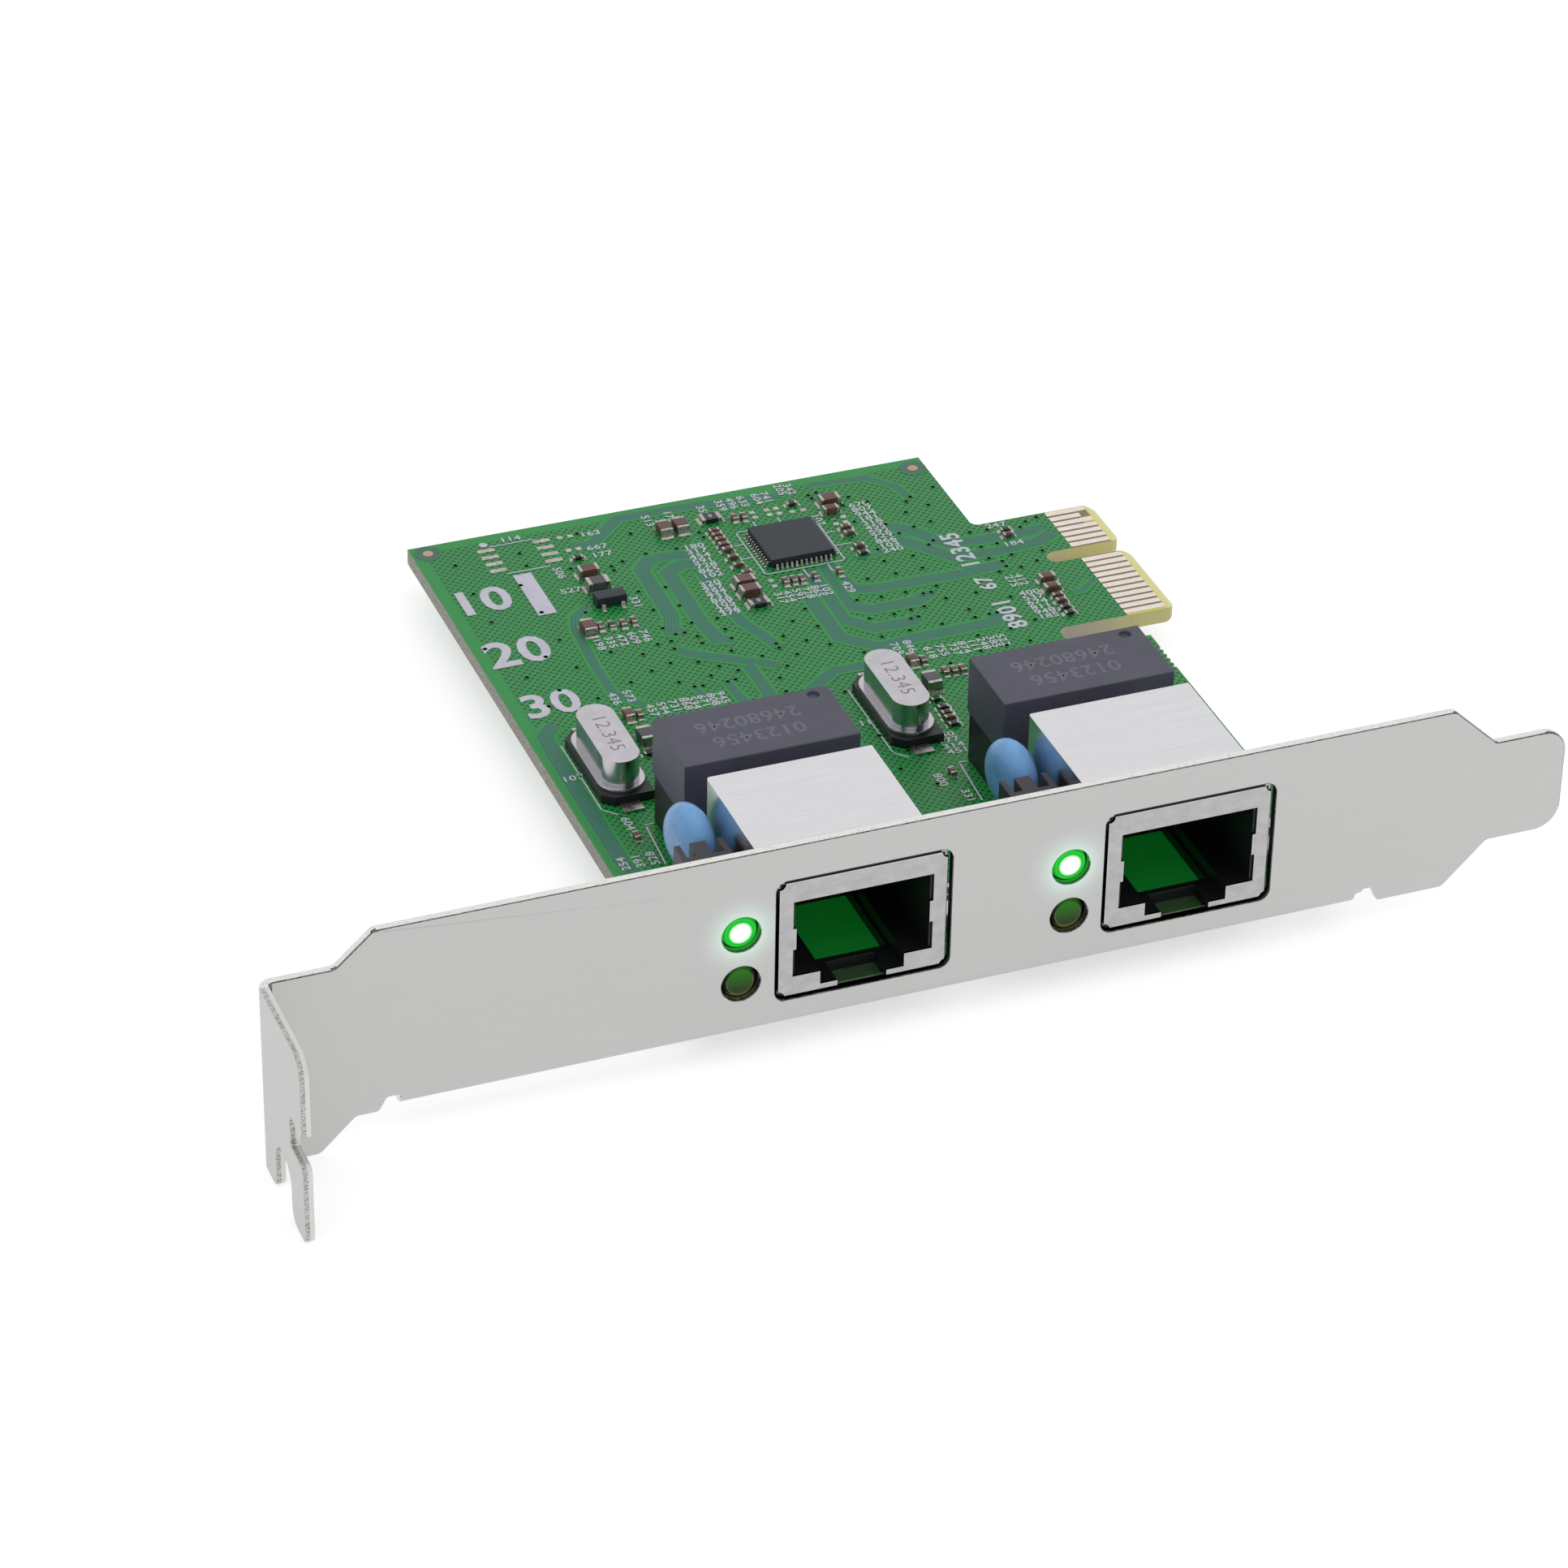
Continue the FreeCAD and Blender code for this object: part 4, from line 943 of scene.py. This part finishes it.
def islands(node):
    # boxes round the separate solids of a CAD node
    work = bmesh.new()
    work.from_mesh(frame["nodes"][node].data)
    bmesh.ops.remove_doubles(work, verts=work.verts, dist=rounding["weld"] / 1000)
    left = set(work.verts)
    found = []
    for start in work.verts:
        if start not in left:
            continue
        left.remove(start)
        group = [start]
        for v in group:  # the list grows as it is read, until the solid has no more points
            fresh = [other for other in (e.other_vert(v) for e in v.link_edges) if other in left]
            left.difference_update(fresh)
            group += fresh
        low, high = [Vector([end(v.co[i] for v in group) for i in range(3)]) for end in (min, max)]
        found.append((low, high))
    work.free()
    return found


def unitFillet():
    # one unit long in X, wide in Y and high in Z, sloping in a hollow curve to its toe
    bpy.ops.mesh.primitive_cube_add(size=1, location=(0.5, 0, 0.5))
    made = bpy.context.object
    bpy.ops.object.transform_apply(location=True)
    bpy.ops.object.mode_set(mode="EDIT")
    for place, drop in solder["hollow"][:-1]:
        bpy.ops.mesh.select_all(action="SELECT")
        bpy.ops.mesh.bisect(plane_co=(place, 0, 0), plane_no=(1, 0, 0))
    work = bmesh.from_edit_mesh(made.data)
    for place, drop in solder["hollow"]:
        for v in work.verts:
            v.select = abs(v.co.x - place) < solder["near"] and v.co.z > 0.5
        work.select_flush_mode()
        bmesh.update_edit_mesh(made.data)
        bpy.ops.transform.translate(value=(0, 0, -drop))
    bpy.ops.object.mode_set(mode="OBJECT")
    return made


def addSolder():
    model = unitFillet()
    made = []
    for family in families:
        bodies = [(low + high) / 2 for low, high in islands(family + "_bodies")]
        for low, high in islands(family + "_ends"):
            # the fillet runs away from the body, along X or along Y
            centre = (low + high) / 2
            away = centre - min(bodies, key=lambda b: (b - centre).length)
            main, side = (0, 1) if abs(away.x) > abs(away.y) else (1, 0)
            along = Vector((0, 0, 0))
            along[main] = math.copysign(1, away[main])
            heading = math.atan2(along.y, along.x)
            size = high - low
            base = Vector((centre.x, centre.y, low.z))
            share = size[side] * 1000 / solder["fullFrom"] + solder["least"]
            reach = solder["filletReach"] / 1000 * min(1.0, share)
            slope = (reach, size[side] * solder["filletWide"], size.z * solder["filletHeight"])
            made.append(put(copyOf(model), base + along * size[main] / 2, heading, slope))
            spare = reach + solder["padReach"] / 1000
            thick = solder["padThick"] / 1000
            pad = (size[main] + spare, size[side] + 2 * solder["padSide"] / 1000, thick)
            made.append(block(base + along * spare / 2 + Vector((0, 0, thick / 2)), heading, pad))
    bpy.data.objects.remove(model)
    count = len(made)
    settle(joined(made), "solder_fillets", "solder_tin")
    print("fillets and pads:", count)


addSolder()


# round lamps: a barrel with a flat lens and a rounded shoulder towards the bracket
lamp = {"segments": 48, "shoulder": 0.50, "shoulderSteps": 6}


def addLamps(node, name, finish):
    low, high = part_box(node)
    radius = (high.z - low.z) / 2
    made = []
    for x in (low.x + radius, high.x - radius):
        bpy.ops.mesh.primitive_cylinder_add(vertices=lamp["segments"], radius=radius, depth=high.y - low.y,
                                            location=(x, (low.y + high.y) / 2, (low.z + high.z) / 2),
                                            rotation=(math.radians(90), 0, 0))
        barrel = bpy.context.object
        bpy.ops.object.transform_apply(location=True, rotation=True)
        selectWhere(barrel, "edges", lambda e: all(abs(v.co.y - low.y) < touching for v in e.verts))
        bpy.ops.mesh.bevel(offset=lamp["shoulder"] / 1000, segments=lamp["shoulderSteps"])
        bpy.ops.object.mode_set(mode="OBJECT")
        smoothByAngle(barrel)
        made.append(barrel)
    settle(joined(made), name, finish, (node,))


addLamps("link_leds", "lit_lamps", "lit_lens")
addLamps("activity_leds", "dark_lamps", "dark_lens")
print("lamps: 4")


# dipped disc capacitors: a lens-shaped body with two coated shoulders over the leads
disc = {"radius": 3.30, "thick": 3.40, "rim": 2.40, "turn": 10, "sides": 48, "voxel": 0.13,
        "smooth": 6, "smoothBy": 0.5, "lead": 1.90, "leadFoot": 0.40, "leadTop": 0.85, "leadLong": 2.60}


def addDisc(node, name):
    low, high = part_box(node)
    radius = disc["radius"] / 1000
    bpy.ops.mesh.primitive_uv_sphere_add(segments=disc["sides"], ring_count=disc["sides"] // 2, radius=1,
                                         location=(0, 0, 0), rotation=(0, math.radians(90), 0))
    body = bpy.context.object
    bpy.ops.object.transform_apply(rotation=True)
    # the ball is drawn out to a disc: flat in the middle, round at the rim
    for v in body.data.vertices:
        across = math.hypot(v.co.y, v.co.z)
        out = (radius - disc["rim"] / 1000 * (1 - across)) / across if across > 0.01 else 0
        v.co = Vector((v.co.x * disc["thick"] / 2000, v.co.y * out, v.co.z * out))
    parts = [body]
    for side in (-1, 1):
        foot, top, long = [disc[key] / 1000 for key in ("leadFoot", "leadTop", "leadLong")]
        middle = (0, side * disc["lead"] / 1000, low.z - high.z + radius + long / 2)
        bpy.ops.mesh.primitive_cone_add(vertices=disc["sides"] // 2, radius1=foot, radius2=top, depth=long,
                                        location=middle)
        parts.append(bpy.context.object)
        bpy.ops.object.transform_apply(location=True)
    centre = Vector(((low.x + high.x) / 2, (low.y + high.y) / 2, high.z - radius))
    made = put(joined(parts), centre, math.radians(disc["turn"]))
    useModifier(made, "REMESH", mode="VOXEL", voxel_size=disc["voxel"] / 1000)
    useModifier(made, "SMOOTH", factor=disc["smoothBy"], iterations=disc["smooth"])
    # the smoothing draws the skin in a little: stretch it back to the CAD box
    for i in range(3):
        places = [v.co[i] for v in made.data.vertices]
        start, end = min(places), max(places)
        for v in made.data.vertices:
            v.co[i] = low[i] + (v.co[i] - start) / (end - start) * (high[i] - low[i])
    selectOnly(made)
    bpy.ops.object.shade_smooth()
    settle(made, name, "blue_coating", (node,))


addDisc("disc_capacitor_1", "dipped_capacitor_1")
addDisc("disc_capacitor_2", "dipped_capacitor_2")
print("disc capacitors: 2")


# plain numbers: burnt into the cans and the blocks, printed on the zero links
engraved = {
    "thick": 0.012,
    # text, place from the middle in X and Y, height, turn, width and boldness
    "can": (("12.345", 0, 0, 1.45, -90, 1.1, -0.012),),
    "block": (("0123456", -0.2, -1.3, 1.75, 180, 1.0, 0.02), ("24680246", -0.4, 1.3, 1.75, 180, 1.0, 0.02)),
    "link": (("0", 0, 0, 0.55, 0, 1.0, 0.02),),
}


def engrave(name, boxes, lines, finish):
    marks = []
    for low, high in boxes:
        x, y, top = middleTop(low, high)
        for text, right, back, height, turn, widen, bold in lines:
            marks.append(label(text, x + right, y + back, height, turn, top, engraved["thick"], widen, bold))
    print(name + ":", len(marks))
    settle(joined(marks), name, finish)


def addEngraving():
    cans = [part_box("crystal_can_1"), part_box("crystal_can_2")]
    blocks = [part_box("transformer_cover_1"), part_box("transformer_cover_2")]
    engrave("can_numbers", cans, engraved["can"], "mark")
    engrave("block_numbers", blocks, engraved["block"], "blockMark")
    engrave("link_numbers", islands("zero_link_bodies"), engraved["link"], "ink")


addEngraving()


# studio: pale floor, soft lamps, white surroundings
studio = {
    "floor": "#CECECE", "floorSize": 8, "lift": (0.60, 0.80), "far": (0.4, 1.5), "worldSoft": 0.45,
    # place and size in metres, and watts
    "lamps": {"key_softbox": ((-0.20, -0.30, 1.05), 1.2, 3.6),
              "fill_softbox": ((0.75, -0.55, 0.60), 1.0, 1.7),
              "back_softbox": ((0.20, 0.85, 0.75), 1.0, 1.5)},
}


def seenDirectly(add):
    # one for what the camera, metal and glass show of the surroundings, zero for the light on the object
    rays = add("LightPath", output=("Is Camera Ray", "Is Glossy Ray", "Is Transmission Ray"))
    return add("Math MAXIMUM", *rays)


def addFloor():
    bpy.ops.mesh.primitive_grid_add(x_subdivisions=4, y_subdivisions=4, size=studio["floorSize"],
                                    location=(0, 0, bracketLow.z))
    floor = bpy.context.object
    bpy.ops.object.transform_apply(location=True)
    floor.name = "studio_floor"
    made, add = newMaterial("matt_white_board")
    # far from the lamps the board is lifted a little more, so it stays white to its edge
    away = add("VectorMath LENGTH", add("TexCoord", output="Object"))
    lift = add("MapRange", away, *studio["far"], *studio["lift"])
    glow = add("Emission", "#FFFFFF", add("Math MULTIPLY", seenDirectly(add), lift))
    add("OutputMaterial", add("AddShader", add("BsdfDiffuse", studio["floor"]), glow))
    floor.data.materials.append(made)


def addWorld():
    world = bpy.data.worlds.new("studio_surround")
    bpy.context.scene.world = world
    world.use_nodes = True
    world.node_tree.nodes.clear()
    add = partial(addNode, world.node_tree)
    strength = add("MapRange", seenDirectly(add), 0, 1, studio["worldSoft"], 1.0)
    add("OutputWorld", add("Background", "#FFFFFF", strength))


def addLamp(name, place, size, power):
    bpy.ops.object.light_add(type="AREA", location=place)
    made = bpy.context.object
    made.name = name
    made.data.shape = "DISK"
    made.data.size = size
    made.data.energy = power
    made.visible_glossy = False
    aim = (cadBounds[0] + cadBounds[1]) / 2 - Vector(place)
    made.rotation_euler = aim.to_track_quat("-Z", "Y").to_euler()


addFloor()
addWorld()
for name, values in studio["lamps"].items():
    addLamp(name, *values)
print("studio: floor, surround and three lamps")


# camera at the photograph's viewing angle
view = {"place": (-0.160763, -0.406648, 0.291261), "azimuth": -21.543, "elevation": 33.399, "roll": 1.052,
        "lens": 132.0, "sensor": 36, "nearest": 0.01}


def addCamera():
    bpy.ops.object.camera_add()
    made = bpy.context.object
    heading, pitch, roll = [Matrix.Rotation(math.radians(angle), 4, axis) for angle, axis in (
        (view["azimuth"], "Z"), (90 - view["elevation"], "X"), (view["roll"], "Z"))]
    made.matrix_world = Matrix.Translation(view["place"]) @ heading @ pitch @ roll
    made.data.sensor_width = view["sensor"]
    made.data.lens = view["lens"]
    made.data.clip_start = view["nearest"]
    bpy.context.scene.camera = made
    bpy.context.scene.view_settings.view_transform = "Standard"
    return made


shot = addCamera()
print("camera right:", [round(v, 5) for v in shot.matrix_world.col[0][:3]])

print("cad box:", [round(v, 6) for corner in cadBounds for v in corner])
